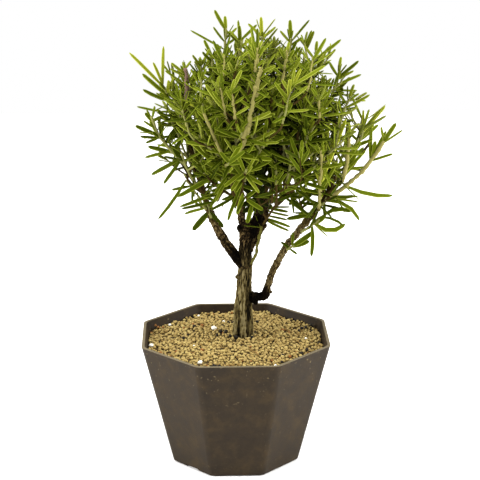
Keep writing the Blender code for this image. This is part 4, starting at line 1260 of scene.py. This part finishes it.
    "underRight": dict(depth=-30, path=((270, 206), (274, 188), (276, 170)), woody=True, needles=(
        (271, 186, 269, 200, 1.2, 0), (276, 173, 282, 193, 1.2, 1), (284, 155, 279, 169, 1.2, 1),
        (274, 169, 272, 179, 0.7, 4), (264, 155, 271, 159, 1.0, 3))),
    "besideFork": dict(depth=2, path=((251, 265), (256, 253), (259, 240),
        (261, 226)), rooted=True, stout=1.6, bare=0.97, needles=()),
    "fan": dict(depth=14, path=((262, 226), (266, 215), (270, 203)), needles=(
        (270, 207, 290, 207, 0.6, 2), (270, 209, 288, 212, 0.9, 2), (269, 211, 289, 216, 0.7, 3),
        (268, 219, 290, 227, 0.9, 2), (267, 220, 289, 231, 0.8, 3), (278, 219, 287, 220, 0.7, 2))),
}


# where the photograph shows sky through the crown or beside it, and where only the near needles are gone,
# before a dark hollow or a stem that stands clear: place and radius in its pixels
skyOpenings = (
    (196, 47, 8), (206, 41, 6), (233, 38, 2), (241, 32, 2), (243, 48, 3), (222, 44, 2.5), (248, 36, 3.5),
    (256, 29, 2.5), (178, 60, 4), (150, 82, 5), (150, 98, 3), (142, 116, 3), (303, 26, 3), (308, 53, 4), (316, 50, 2),
    (327, 70, 3), (335, 62, 4), (348, 58, 6), (350, 82, 3.5), (362, 84, 7), (344, 98, 3), (353, 103, 3),
    (358, 115, 3.5), (362, 122, 2.5), (168, 131, 4.5), (163, 148, 2.5), (168, 75, 2), (178, 143, 2.5), (184, 149, 4),
    (191, 149, 2.5), (185, 157, 3), (188, 163, 3.5), (207, 155, 3.5), (184, 173, 5), (176, 179, 6), (168, 172, 4),
    (150, 168, 8), (157, 192, 11), (140, 150, 8), (190, 180, 4), (206, 184, 2), (217, 185, 2), (208, 189, 1.5),
    (210, 206, 3), (221, 212, 6), (227, 208, 3), (213, 216, 4), (257, 212, 2.5), (217, 187, 2.5), (216, 176, 1.5),
    (268, 214, 1.5), (195, 190, 2.5), (170, 202, 11), (190, 222, 10), (241, 166, 2), (353, 140, 3.5), (371, 144, 3),
    (368, 131, 2), (319, 55, 2), (304, 50, 2), (340, 186, 2), (344, 131, 3), (341, 143, 2.5), (337, 158, 4.5),
    (331, 151, 2.5), (314, 160, 4.5), (306, 151, 2), (321, 177, 1.5), (367, 178, 9), (358, 169, 6), (361, 158, 4),
    (366, 150, 3), (382, 174, 11), (376, 138, 5), (392, 145, 8), (352, 176, 2.5), (374, 210, 15), (352, 212, 3),
    (313, 190, 2), (306, 201, 2), (290, 208, 4.5), (293, 182, 3.5), (280, 190, 2.5), (269, 170, 2), (279, 203, 3),
    (301, 172, 2), (284, 224, 11), (298, 225, 5), (238, 150, 1.5), (212, 137, 1.5), (222, 172, 1.5),
)
nearOpenings = (
    (262, 171, 4), (247, 181, 4), (247, 193, 4), (248, 204, 5), (266, 188, 4), (264, 204, 5), (285, 150, 4),
    (319, 200, 2.5), (319, 190, 2.5), (320, 180, 2.5), (320, 171, 2.5), (321, 162, 2.5), (346, 173, 2.5), (347, 162, 2),
    (348, 152, 2), (260, 72, 2.5), (258, 80, 2.5), (255, 92, 2.5), (253, 101, 2.5), (251, 111, 2), (247, 132, 2),
    (244, 143, 2), (230, 166, 2), (232, 178, 1.5), (234, 102, 2), (234, 110, 2), (224, 104, 2), (207, 121, 2),
    (212, 134, 2), (219, 148, 2), (286, 62, 2), (284, 72, 2),
)


def inOpening(points, shown):
    # which needles, each given as points along it, cross an opening
    x, y = placesSeen(points)
    crossing = np.zeros(points.shape[0], dtype=bool)
    for spots, nearest in ((skyOpenings, 1.0), (nearOpenings, 0.004)):
        for atX, atY, radius in spots:
            inside = ((x - atX) ** 2 + (y - atY) ** 2 < radius ** 2) & (points[..., 1] < nearest)
            crossing |= inside.any(axis=1)
    return crossing & ~shown


def nearest(point, points):
    best = 1e9
    for a, b in zip(points, points[1:]):
        run = b - a
        share = min(max((point - a).dot(run) / run.length_squared, 0.0), 1.0)
        best = min(best, (a + run * share - point).length)
    return best


def spreadDirections(count):
    for i in range(count):
        height = 1 - 2 * (i + 0.5) / count
        turn = i * math.pi * (3 - math.sqrt(5))
        flat = math.sqrt(1 - height * height)
        yield Vector((flat * math.cos(turn), flat * math.sin(turn), height))


def bowedPath(start, bow, tip, steps):
    points = []
    for i in range(steps + 1):
        s = i / steps
        points.append(start * (1 - s) ** 2 + bow * 2 * s * (1 - s) + tip * s * s)
    return points


def insideReach(point, allowance):
    # draws a point back to where its needles stay inside the crown
    heart = crown["heart"]
    away = point - heart
    most = reachOf(away.normalized()) - allowance
    return point if away.length <= most else heart + away * (most / away.length)


def sideShoots(path, young, own, inner):
    turn = own.uniform(0, 6.28)
    for k, place in enumerate(shoots["sideShares"]):
        if own.random() > shoots["sideChance"] * (0.5 if inner else 1.0):
            continue
        foot = pointAt(path, place)
        along = (pointAt(path, place + 0.05) - pointAt(path, place - 0.05)).normalized()
        out = Matrix.Rotation(turn + k * 2.4, 3, along) @ along.orthogonal().normalized()
        opening = math.radians(own.uniform(*shoots["sideOpening"]))
        lift = Vector((0, 0, shoots["sideLift"]))
        heading = (along * math.cos(opening) + out * math.sin(opening) + lift).normalized()
        reach = blend(shoots["sideLength"], own.random())
        end = insideReach(foot + heading * reach, shoots["tipAllowance"])
        if (end - foot).length < shoots["shortestSide"]:
            continue
        side = bowedPath(foot, foot.lerp(end, 0.5) + out * reach * shoots["sideBow"], end, shoots["sideSteps"])
        cut = own.random() < shoots["cutShare"] * 0.5
        younger = min(1.0, young + own.uniform(-0.1, 0.35))
        yield dict(path=side, radius=shoots["sideRadius"], young=younger, own=own, bare=shoots["sideBare"], cut=cut)


def growCrown():
    # an even run of shoots over the crown's form, with their side shoots
    chance = random.Random(crown["seed"])
    grown = []
    for count, shares in crown["shells"]:
        for outwards in spreadDirections(count):
            share = chance.uniform(*shares)
            own = random.Random(chance.random())
            if outwards.z < crown["lowestShoot"] or (
                outwards.z < crown["lowestInFront"] and outwards.y < crown["frontFrom"]
            ):
                continue
            tip = crown["heart"] + outwards * (openReach(outwards) * share - shoots["tipAllowance"])
            stem = min(stems.values(), key=lambda s: nearest(tip, s))
            growth = (outwards + Vector((0, 0, shoots["upturn"]))).normalized()
            aim = tip - growth * shoots["runs"]
            length = (stem[1] - stem[0]).length * (len(stem) - 1)
            starts = shoots["starts"]
            places = [blend((shoots["firstStart"] / length, 1.0), i / starts) for i in range(starts + 1)]
            start = min((pointAt(stem, s) for s in places), key=lambda p: (p - aim).length)
            run = tip - start
            bow = start.lerp(tip, 0.5) + (outwards - Vector((0, 0, 0.5))) * run.length * shoots["bow"]
            path = bowedPath(start, bow, tip, shoots["steps"])
            inner = share < crown["innerBelow"]
            young = own.uniform(0.0, 0.25) if inner else own.uniform(0.05, 0.7)
            bare = max(shoots["leastBare"], 1 - shoots["leafyEnd"] / run.length)
            cut = own.random() < shoots["cutShare"]
            grown.append(dict(path=path, radius=shoots["parentRadius"], young=young, own=own, bare=bare, cut=cut))
            grown.extend(sideShoots(path, young, own, inner))
    return grown


def sprayPath(spray):
    # the spray's shoot in the frame, from its pixels and depths
    depths = (spray["depth"], spray.get("tipDepth", spray["depth"]))
    last = len(spray["path"]) - 1
    return [
        seen(x, y, blend(depths, (i / last) ** spray.get("swing", 1)))
        for i, (x, y) in enumerate(spray["path"])
    ]


def growLeads(crownShoots):
    # the shoots placed one by one
    growsFrom = [*stems.values(), limbs["low_bough"], limbs["left_bough"], limbs["right_leader"]]
    growsFrom += [shoot["path"] for shoot in crownShoots if shoot["radius"] == shoots["parentRadius"]]
    leads = [dict(lead, path=[Vector(p) / 1000 for p in lead["path"]]) for lead in leadingShoots.values()]
    leads += [dict(spray, path=sprayPath(spray), young=shoots["leadYoung"]) for spray in seenSprays.values()]
    for i, lead in enumerate(leads):
        own = random.Random(100 + i)
        points = lead["path"]
        # each grows out of the nearest stem or bough
        below = points[0] + (points[0] - points[1]).normalized() * shoots["leadBelow"]
        root = min((pointAt(s, k / 20) for s in growsFrom for k in range(3, 21)), key=lambda p: (p - below).length)
        upper, lower = pathLength(points), (points[0] - root).length
        whole = points if lead.get("rooted") or lead.get("footed") else [root] + points
        path = alongPath(whole, shoots["leadSteps"])
        bare = lead.get("bare", lower / (lower + upper) + 0.03)
        yield dict(
            lead, path=path, radius=shoots["leadRadius"], own=own, bare=bare,
            lead=True, stout=lead.get("stout", 1.0), cut=lead.get("cut", False),
        )


# ---- needles

needle = {
    "length": 0.0200,
    "width": 0.0023,
    "spacing": (0.0048, 0.0028),  # between one pair and the next, at a shoot's foot and at its tip
    "opening": (80, 30),  # degrees off the shoot, at its foot and at its tip
    "droop": 0.35,  # how far low needles hang
    "turnToLight": 1.5,  # how far the upper sides turn outwards and up
    "shortTop": 0.30,  # how much shorter and closer the needles of the topmost shoots are
    "shadeShare": 0.52,  # of the reach, within which needles get the dark colour of painted shade
    "tipLength": 0.50,  # share of the full length that the last pair reaches
    "lengthRange": (0.76, 1.14),
    "bend": (0.10, 0.10),  # share of the length that needles curl outwards low down, and inwards at the tip
    "bendSway": 0.08,
    "sway": 0.05,
    "tuftChance": 0.32,
    "tuftLength": (0.0050, 0.0095),
    "tuftWidth": 0.0015,
    "tuftOpening": (12, 40),
    "ageing": (2.6, 1.3),  # how many kinds younger needles are on a young shoot, and at a shoot's tip
    "paintedLightAndShade": (0.1, 1.1),  # how many kinds lighter needles are dealt on top of the crown, and how many darker below it: painted light on top, painted shade below
    "ageSway": (-0.8, 0.9),
    "unevenness": (0.85, 1.15),
    "lighting": (0.3, 1.0),
    "tiltSway": 13,
    "turnSway": 0.3,
    "closerOnTop": 0.22,
    "cutOpening": 42,  # the least that needles open on a pruned shoot
    "cutEnd": 0.93,  # share of the shoot at which needles end, if it is pruned, and below if not
    "end": 0.985,
    "betweenShown": 0.72,  # shorter, and fewer, between the needles that show
    "thinned": 0.35,  # share left out there, where the spray doesn't say
    "missing": 0.06,  # share left out everywhere
    "leastKept": 0.6,  # shorter than this share of its length, a needle is left out
    "leadReach": 1.08,  # of the crown's reach, for shoots placed one by one
    # half width along the needle
    "outline": ((0.0, 0.40), (0.08, 0.68), (0.34, 0.98), (0.68, 1.0), (0.92, 0.78), (1.0, 0.26)),
    # across it: edge, crown, groove, crown, edge, underside, as shares of the half width
    "section": ((-1.0, -0.12), (-0.64, 0.24), (0.0, 0.04), (0.64, 0.24), (1.0, -0.12), (0.0, -0.40)),
}

# dealt out by shoot and by the needle's place on it, from old to young: upper side, underside, groove; the first kind,
# dealt out deep inside the crown, is painted shade
needleKinds = {
    "needlesInner": ("#283009", "#24290b", "#151b03"),  # painted shade: the dark colour of needles deep inside the crown
    "needlesOld": ("#4c5412", "#404609", "#2a3402"),
    "needlesDeep": ("#5f6819", "#515810", "#3b4605"),
    "needlesMid": ("#747c26", "#626924", "#4d5809"),
    "needlesFresh": ("#858c36", "#72772e", "#606914"),
    "needlesYoung": ("#969a34", "#80822e", "#70761a"),
}


def leafGreen(name, colour, roughness):
    # A rosemary leaf: leathery, linear, with rolled edges and a fold along the middle; dark green and
    # faintly waxy above, downy and grey-green below. The colour is plain, dealt out by shoot, and for needles deep
    # inside the crown it is painted shade.
    made, tree, shader = newMaterial(name, roughness, colour, ior=1.4)
    shader.inputs["Specular IOR Level"].default_value = 0.02  # the down holds back the gloss
    fineRelief(tree, shader, scale=1400, detail=2, strength=0.25, distance=0.0002)
    return made


def needleShape():
    # a six-sided tube cut into rings, then pressed to the needle's outline and section
    bm = bmesh.new()
    bmesh.ops.create_cone(bm, cap_ends=True, segments=6, radius1=1, radius2=1, depth=1)
    sideEdges = [e for e in bm.edges if abs(e.verts[0].co.z - e.verts[1].co.z) > 0.5]
    bmesh.ops.subdivide_edges(bm, edges=sideEdges, cuts=len(needle["outline"]) - 2)
    heights = sorted({round(v.co.z, 4) for v in bm.verts})
    for vert in bm.verts:
        ring = heights.index(round(vert.co.z, 4))
        corner = math.floor(math.atan2(vert.co.y, vert.co.x) / (math.pi / 3)) % 6
        along, wide = needle["outline"][ring]
        across, up = needle["section"][corner]
        vert.co = Vector((along, across * wide, up * wide))
    bmesh.ops.recalc_face_normals(bm, faces=bm.faces)
    for face in bm.faces:
        middle = [v for v in face.verts if abs(v.co.y) < 1e-6]
        face.material_index = 0 if len(middle) != 2 else 1 if middle[0].co.z < 0 else 2
    return arraysOf(bm)


def keptInside(root, tip, lead):
    # how much of a needle may stand before it leaves the crown
    away = tip - crown["heart"]
    most = reachOf(away.normalized()) * (needle["leadReach"] if lead else 1.0) + 0.001
    return 1.0 if away.length <= most else max(0.0, 1 - (away.length - most) / (tip - root).length)


def needlesOn(shoot):
    # opposite pairs, each turned a quarter from the last: kind, root, direction, upper side, length, width, bend,
    # sway, shown
    own, path = shoot["own"], shoot["path"]
    length = pathLength(path)
    last = needle["cutEnd"] if shoot["cut"] else needle["end"]
    short = 1 - needle["shortTop"] * max(0.0, (path[-1] - crown["heart"]).normalized().z)
    places, at = [], shoot["bare"] * length
    while at < last * length:
        places.append(at / length)
        rise = (at / length - shoot["bare"]) / (last - shoot["bare"])
        at += blend(needle["spacing"], rise) * short * own.uniform(*needle["unevenness"])
    turn = own.uniform(0, 3.14)
    # inner is the kind whose dark colour is painted shade
    inner, *kinds = needleKinds
    byShoot, byPlace = needle["ageing"]
    onTop, below = needle["paintedLightAndShade"]
    for i, share in enumerate(places):
        rise = i / max(1, len(places) - 1)
        root = pointAt(path, share)
        along = (pointAt(path, share + 0.03) - pointAt(path, share - 0.06)).normalized()
        across = along.orthogonal().normalized()
        lit = (root - crown["heart"]).normalized()
        # needles deep inside the crown get the painted-shade kind
        shaded = (root - crown["heart"]).length < reachOf(lit) * needle["shadeShare"]
        opening = blend(needle["opening"], rise ** 1.5) * (1 - needle["closerOnTop"] * max(0.0, lit.z))
        if shoot["cut"]:
            opening = max(opening, needle["cutOpening"])
        for half in range(2):
            angle = turn + i * math.pi / 2 + half * math.pi + own.uniform(-needle["turnSway"], needle["turnSway"])
            out = Matrix.Rotation(angle, 3, along) @ across
            tilt = math.radians(opening + own.uniform(-needle["tiltSway"], needle["tiltSway"]))
            hang = Vector((0, 0, -needle["droop"] * (1 - rise) * own.random()))
            heading = (along * math.cos(tilt) + out * math.sin(tilt) + hang).normalized()
            upper = along * 0.7 + (lit + Vector((0, 0, 0.4))) * needle["turnToLight"] * own.uniform(*needle["lighting"])
            size = needle["length"] * own.uniform(*needle["lengthRange"]) * short
            if "needles" in shoot:
                size *= needle["betweenShown"]
                if own.random() < shoot.get("thinned", needle["thinned"]):
                    continue
            if not shoot["cut"]:
                size *= blend((1.0, needle["tipLength"]), rise ** 4)
            # lighter kinds on top of the crown are painted light, darker kinds below it painted shade
            level = shoot["young"] * byShoot + rise * byPlace + lit.z * (onTop if lit.z > 0 else below)
            level += own.uniform(*needle["ageSway"])
            kind = inner if shaded else kinds[min(max(int(level), 0), len(kinds) - 1)]
            bend = -needle["bend"][0] * (1 - rise) + needle["bend"][1] * rise + own.uniform(-1, 1) * needle["bendSway"]
            share = keptInside(root, root + heading * size, shoot.get("lead"))
            if own.random() > needle["missing"] and share > needle["leastKept"]:
                width = needle["width"] * own.uniform(*needle["unevenness"]) * min(1.0, size / needle["length"] + 0.25)
                yield kind, root, heading, upper, size * share, width, bend, own.uniform(-1, 1) * needle["sway"], False
            if own.random() < needle["tuftChance"] * (0.3 + 0.7 * rise) and not shaded:
                spread = math.radians(own.uniform(*needle["tuftOpening"]))
                aside = Matrix.Rotation(own.uniform(-0.6, 0.6), 3, along) @ out
                small = (along * math.cos(spread) + aside * math.sin(spread)).normalized()
                kind = kinds[min(max(int(level + 0.6), 0), 3)]
                size = own.uniform(*needle["tuftLength"])
                yield kind, root, small, along, size, needle["tuftWidth"], 0.05, 0.0, False
    for x, y, tipX, tipY, wide, kind, *curl in shoot.get("needles", ()):
        root = seen(x, y, shoot["depth"])
        root = min((pointAt(path, k / 60) for k in range(20, 61)), key=lambda q: (q - root).length)
        tip = seen(tipX, tipY, root.y * 1000 + own.uniform(-5, 5))
        run = tip - root
        upper = Vector((0, -1.1, 0.75)) + lit * 0.3  # they show their upper sides
        curl = curl[0] if curl else own.uniform(-0.06, 0.06)
        yield [*kinds, inner][kind], root, run.normalized(), upper, run.length, needle["width"] * wide, 0.04, curl, True


def makeNeedles(grown):
    shape, triangles, slots = needleShape()
    placed = {kind: [] for kind in needleKinds}
    for shoot in grown:
        for kind, *rest in needlesOn(shoot):
            placed[kind].append(rest)
    for kind, rows in placed.items():
        along = np.array([[r[0] + r[1] * (r[3] * k) for k in (0.15, 0.4, 0.6, 0.8, 1.0)] for r in rows])
        crossing = inOpening(along, np.array([r[7] for r in rows]))
        rows = [r for r, out in zip(rows, crossing) if not out]
        roots = np.array([r[0] for r in rows])
        heads = np.array([r[1] for r in rows])
        ups = np.array([r[2] for r in rows])
        lengths, widths, bends, sways = (np.array([r[k] for r in rows]) for k in (3, 4, 5, 6))
        sides = np.cross(heads, ups)
        sides /= np.linalg.norm(sides, axis=1)[:, None]
        ups = np.cross(sides, heads)
        x, y, z = shape[:, 0], shape[:, 1], shape[:, 2]
        shown = np.array([[float(r[7])] for r in rows])  # these curl out and back, so that the tip falls where it shows
        slope = (2 * x[None] - shown) * sways[:, None]
        wide = -y[None] * widths[:, None] / 2 / np.sqrt(1 + slope ** 2)
        along = x[None] * lengths[:, None] - slope * wide
        across = wide + (x[None] ** 2 - x[None] * shown) * (sways * lengths)[:, None]
        raised = z[None] * widths[:, None] / 2 + (x ** 2)[None] * (bends * lengths)[:, None]
        points = roots[:, None] + heads[:, None] * along[..., None]
        points = points + sides[:, None] * across[..., None] + ups[:, None] * raised[..., None]
        count = len(rows)
        faces = triangles[None] + (np.arange(count) * len(shape))[:, None, None]
        mesh = meshFromArrays(kind, points.reshape(-1, 3), faces.reshape(-1, 3), np.tile(slots, count))
        names = [kind.replace("needles", part) for part in ("leaf", "leafBack", "leafGroove")]
        made = [leafGreen(n, c, r) for n, c, r in zip(names, needleKinds[kind], (0.5, 0.8, 0.55))]
        addPiece(kind, mesh, made, list(masses))
        print(kind, count, "needles,", len(mesh.polygons), "faces")


# ---- twigs

twigs = {
    "stemRadiusShare": 0.85,
    "stemTip": 0.0008,
    "woodyShare": 0.30,
    "woodyBelow": 0.205,  # shoots that end lower are brown nearly all along
    "rootedWoody": 0.05,  # for shoots that spring from old wood
    "oldWoody": 0.9,
    "nodeSwell": 0.22,
    "scarSwell": (0.78, 1.3),
    "crook": 0.0012,
    "stemCrook": 0.0010,
    "stemSteps": 24,
    "stemSides": 8,
    "leadSteps": 30,
}

twigKinds = {
    "twigsWoody": "#382d13",
    "twigsYoung": "#727240",
    "twigsOlive": "#4d4a20",
    "twigsPale": "#7e7844",
    "twigsPurple": "#6a564a",
}


def twigSkin(name, colour):
    # Rosemary shoots: four-sided and downy, pale beige-green when young, brown and thinly barked when old.
    made, tree, shader = newMaterial(name, 0.82, colour, ior=1.4)
    shader.inputs["Specular IOR Level"].default_value = 0.03
    fineRelief(tree, shader, scale=1600, detail=3, strength=0.5, distance=0.0003)
    return made


def twigArrays(path, radii, sides):
    points = []
    for i, (spot, (_, across, third)) in enumerate(zip(path, frames(path))):
        for k in range(sides):
            angle = 2 * math.pi * k / sides
            points.append(spot + (across * math.cos(angle) + third * math.sin(angle)) * radii[i])
    faces = []
    for i in range(len(path) - 1):
        for k in range(sides):
            a, b = i * sides + k, i * sides + (k + 1) % sides
            faces += [(a, b, b + sides), (a, b + sides, a + sides)]
    end = (len(path) - 1) * sides
    for k in range(1, sides - 1):
        faces += [(0, k + 1, k), (end, end + k, end + k + 1)]
    return np.array(points), np.array(faces)


def evenRadii(ends, count):
    return [blend(ends, i / (count - 1)) for i in range(count)]


def skinOf(shoot):
    if shoot.get("rooted"):
        return "twigsOlive"
    if shoot.get("purple"):
        return "twigsPurple"
    return "twigsPale" if shoot.get("pale") or shoot.get("lead") and shoot["cut"] else "twigsYoung"


def makeTwigs(grown):
    placed = {kind: [] for kind in twigKinds}
    for name, stem in stems.items():
        limb = boughs[masses[name]["limb"]]
        path = strayed(alongPath(stem, twigs["stemSteps"]), twigs["stemCrook"], len(name) * 3.1)
        radii = evenRadii((limb["radius"][1] * twigs["stemRadiusShare"], twigs["stemTip"]), len(path))
        below = path[0] - (path[1] - path[0])
        placed["twigsWoody"].append(twigArrays([below] + path, [radii[0]] + radii, twigs["stemSides"]))
    for shoot in grown:
        path = alongPath(shoot["path"], twigs["leadSteps"]) if shoot.get("lead") else shoot["path"]
        radii = evenRadii(shoot["radius"], len(path))
        radii = [r * (1 + twigs["nodeSwell"] * (i % 2)) for i, r in enumerate(radii)]
        if shoot.get("lead"):  # stout and knobbly with old leaf scars
            path = strayed(path, twigs["crook"], shoot["young"] * 7)
            radii = [r * shoot["stout"] * shoot["own"].uniform(*twigs["scarSwell"]) for r in radii]
            bareEnd = int((len(path) - 1) * shoot["bare"])
            radii = [r * (0.6 + 0.4 * k / bareEnd if k < bareEnd else 1) for k, r in enumerate(radii)]
        woody = shoot["bare"] if shoot.get("lead") else max(twigs["woodyShare"], shoot["bare"])
        if shoot.get("rooted"):
            woody = twigs["rootedWoody"]
        elif shoot.get("woody") or not shoot.get("lead") and path[-1].z < twigs["woodyBelow"]:
            woody = twigs["oldWoody"]
        # young side shoots have no woody part
        isSide = shoot["radius"] == shoots["sideRadius"]
        split = 0 if isSide and woody < twigs["oldWoody"] else max(1, int((len(path) - 1) * woody))
        if split:
            placed["twigsWoody"].append(twigArrays(path[:split + 1], radii[:split + 1], shoots["sides"]))
        placed[skinOf(shoot)].append(twigArrays(path[split:], radii[split:], shoots["sides"]))
    for kind, parts in placed.items():
        mesh = meshFromArrays(kind, *joined(parts))
        addPiece(kind, mesh, [twigSkin(kind.replace("twigs", "shoot"), twigKinds[kind])], list(masses))
        print(kind, len(parts), "twigs,", len(mesh.polygons), "faces")


crownShoots = growCrown()
grown = crownShoots + list(growLeads(crownShoots))
# side shoots that would end in an opening aren't grown
ends = np.array([[pointAt(shoot["path"], share) for share in (0.85, 1.0)] for shoot in grown])
barred = inOpening(ends, np.array([shoot["radius"] != shoots["sideRadius"] for shoot in grown]))
grown = [shoot for shoot, out in zip(grown, barred) if not out]
print("shoots", len(grown))
makeNeedles(grown)
makeTwigs(grown)
print("crown made")


# ---- floor, light and camera

studio = {
    "floorColour": "#fcfbf9",
    "floorSize": 1.1,
    "worldStrength": 1.0,
    "aim": Vector((0, 0, 0.15)),
    # place, size and power of each soft box
    "boxes": {
        "topBox": ((0.0, -0.10, 1.3), 1.1, 20),
        "leftBox": ((-1.25, -0.25, 0.60), 0.9, 26),
        "rightBox": ((1.25, -0.25, 0.60), 0.9, 26),
    },
}


def makeStudio():
    bm = bmesh.new()
    bmesh.ops.create_grid(bm, x_segments=1, y_segments=1, size=studio["floorSize"])
    mesh = meshOf(bm, "floor")
    mesh.materials.append(newMaterial("paperFloor", 0.9, studio["floorColour"])[0])
    floor = bpy.data.objects.new("floor", mesh)
    bpy.context.scene.collection.objects.link(floor)
    world = bpy.data.worlds.new("softStudio")
    world.use_nodes = True
    world.node_tree.nodes["Background"].inputs["Color"].default_value = (1, 1, 1, 1)
    world.node_tree.nodes["Background"].inputs["Strength"].default_value = studio["worldStrength"]
    bpy.context.scene.world = world
    for name, (place, size, power) in studio["boxes"].items():
        light = bpy.data.lights.new(name, "AREA")
        light.shape, light.size, light.energy = "SQUARE", size, power
        lamp = bpy.data.objects.new(name, light)
        lamp.location = place
        lamp.rotation_euler = (studio["aim"] - Vector(place)).to_track_quat("-Z", "Y").to_euler()
        bpy.context.scene.collection.objects.link(lamp)


def makeCamera():
    lens = bpy.data.cameras.new("camera")
    lens.sensor_width, lens.lens = view["sensor"], view["lens"]
    camera = bpy.data.objects.new("camera", lens)
    camera.location = view["place"]
    camera.rotation_euler = viewTurn
    bpy.context.scene.collection.objects.link(camera)
    bpy.context.scene.camera = camera


makeStudio()
makeCamera()
bpy.context.scene.view_settings.view_transform = "Standard"
print("studio made")
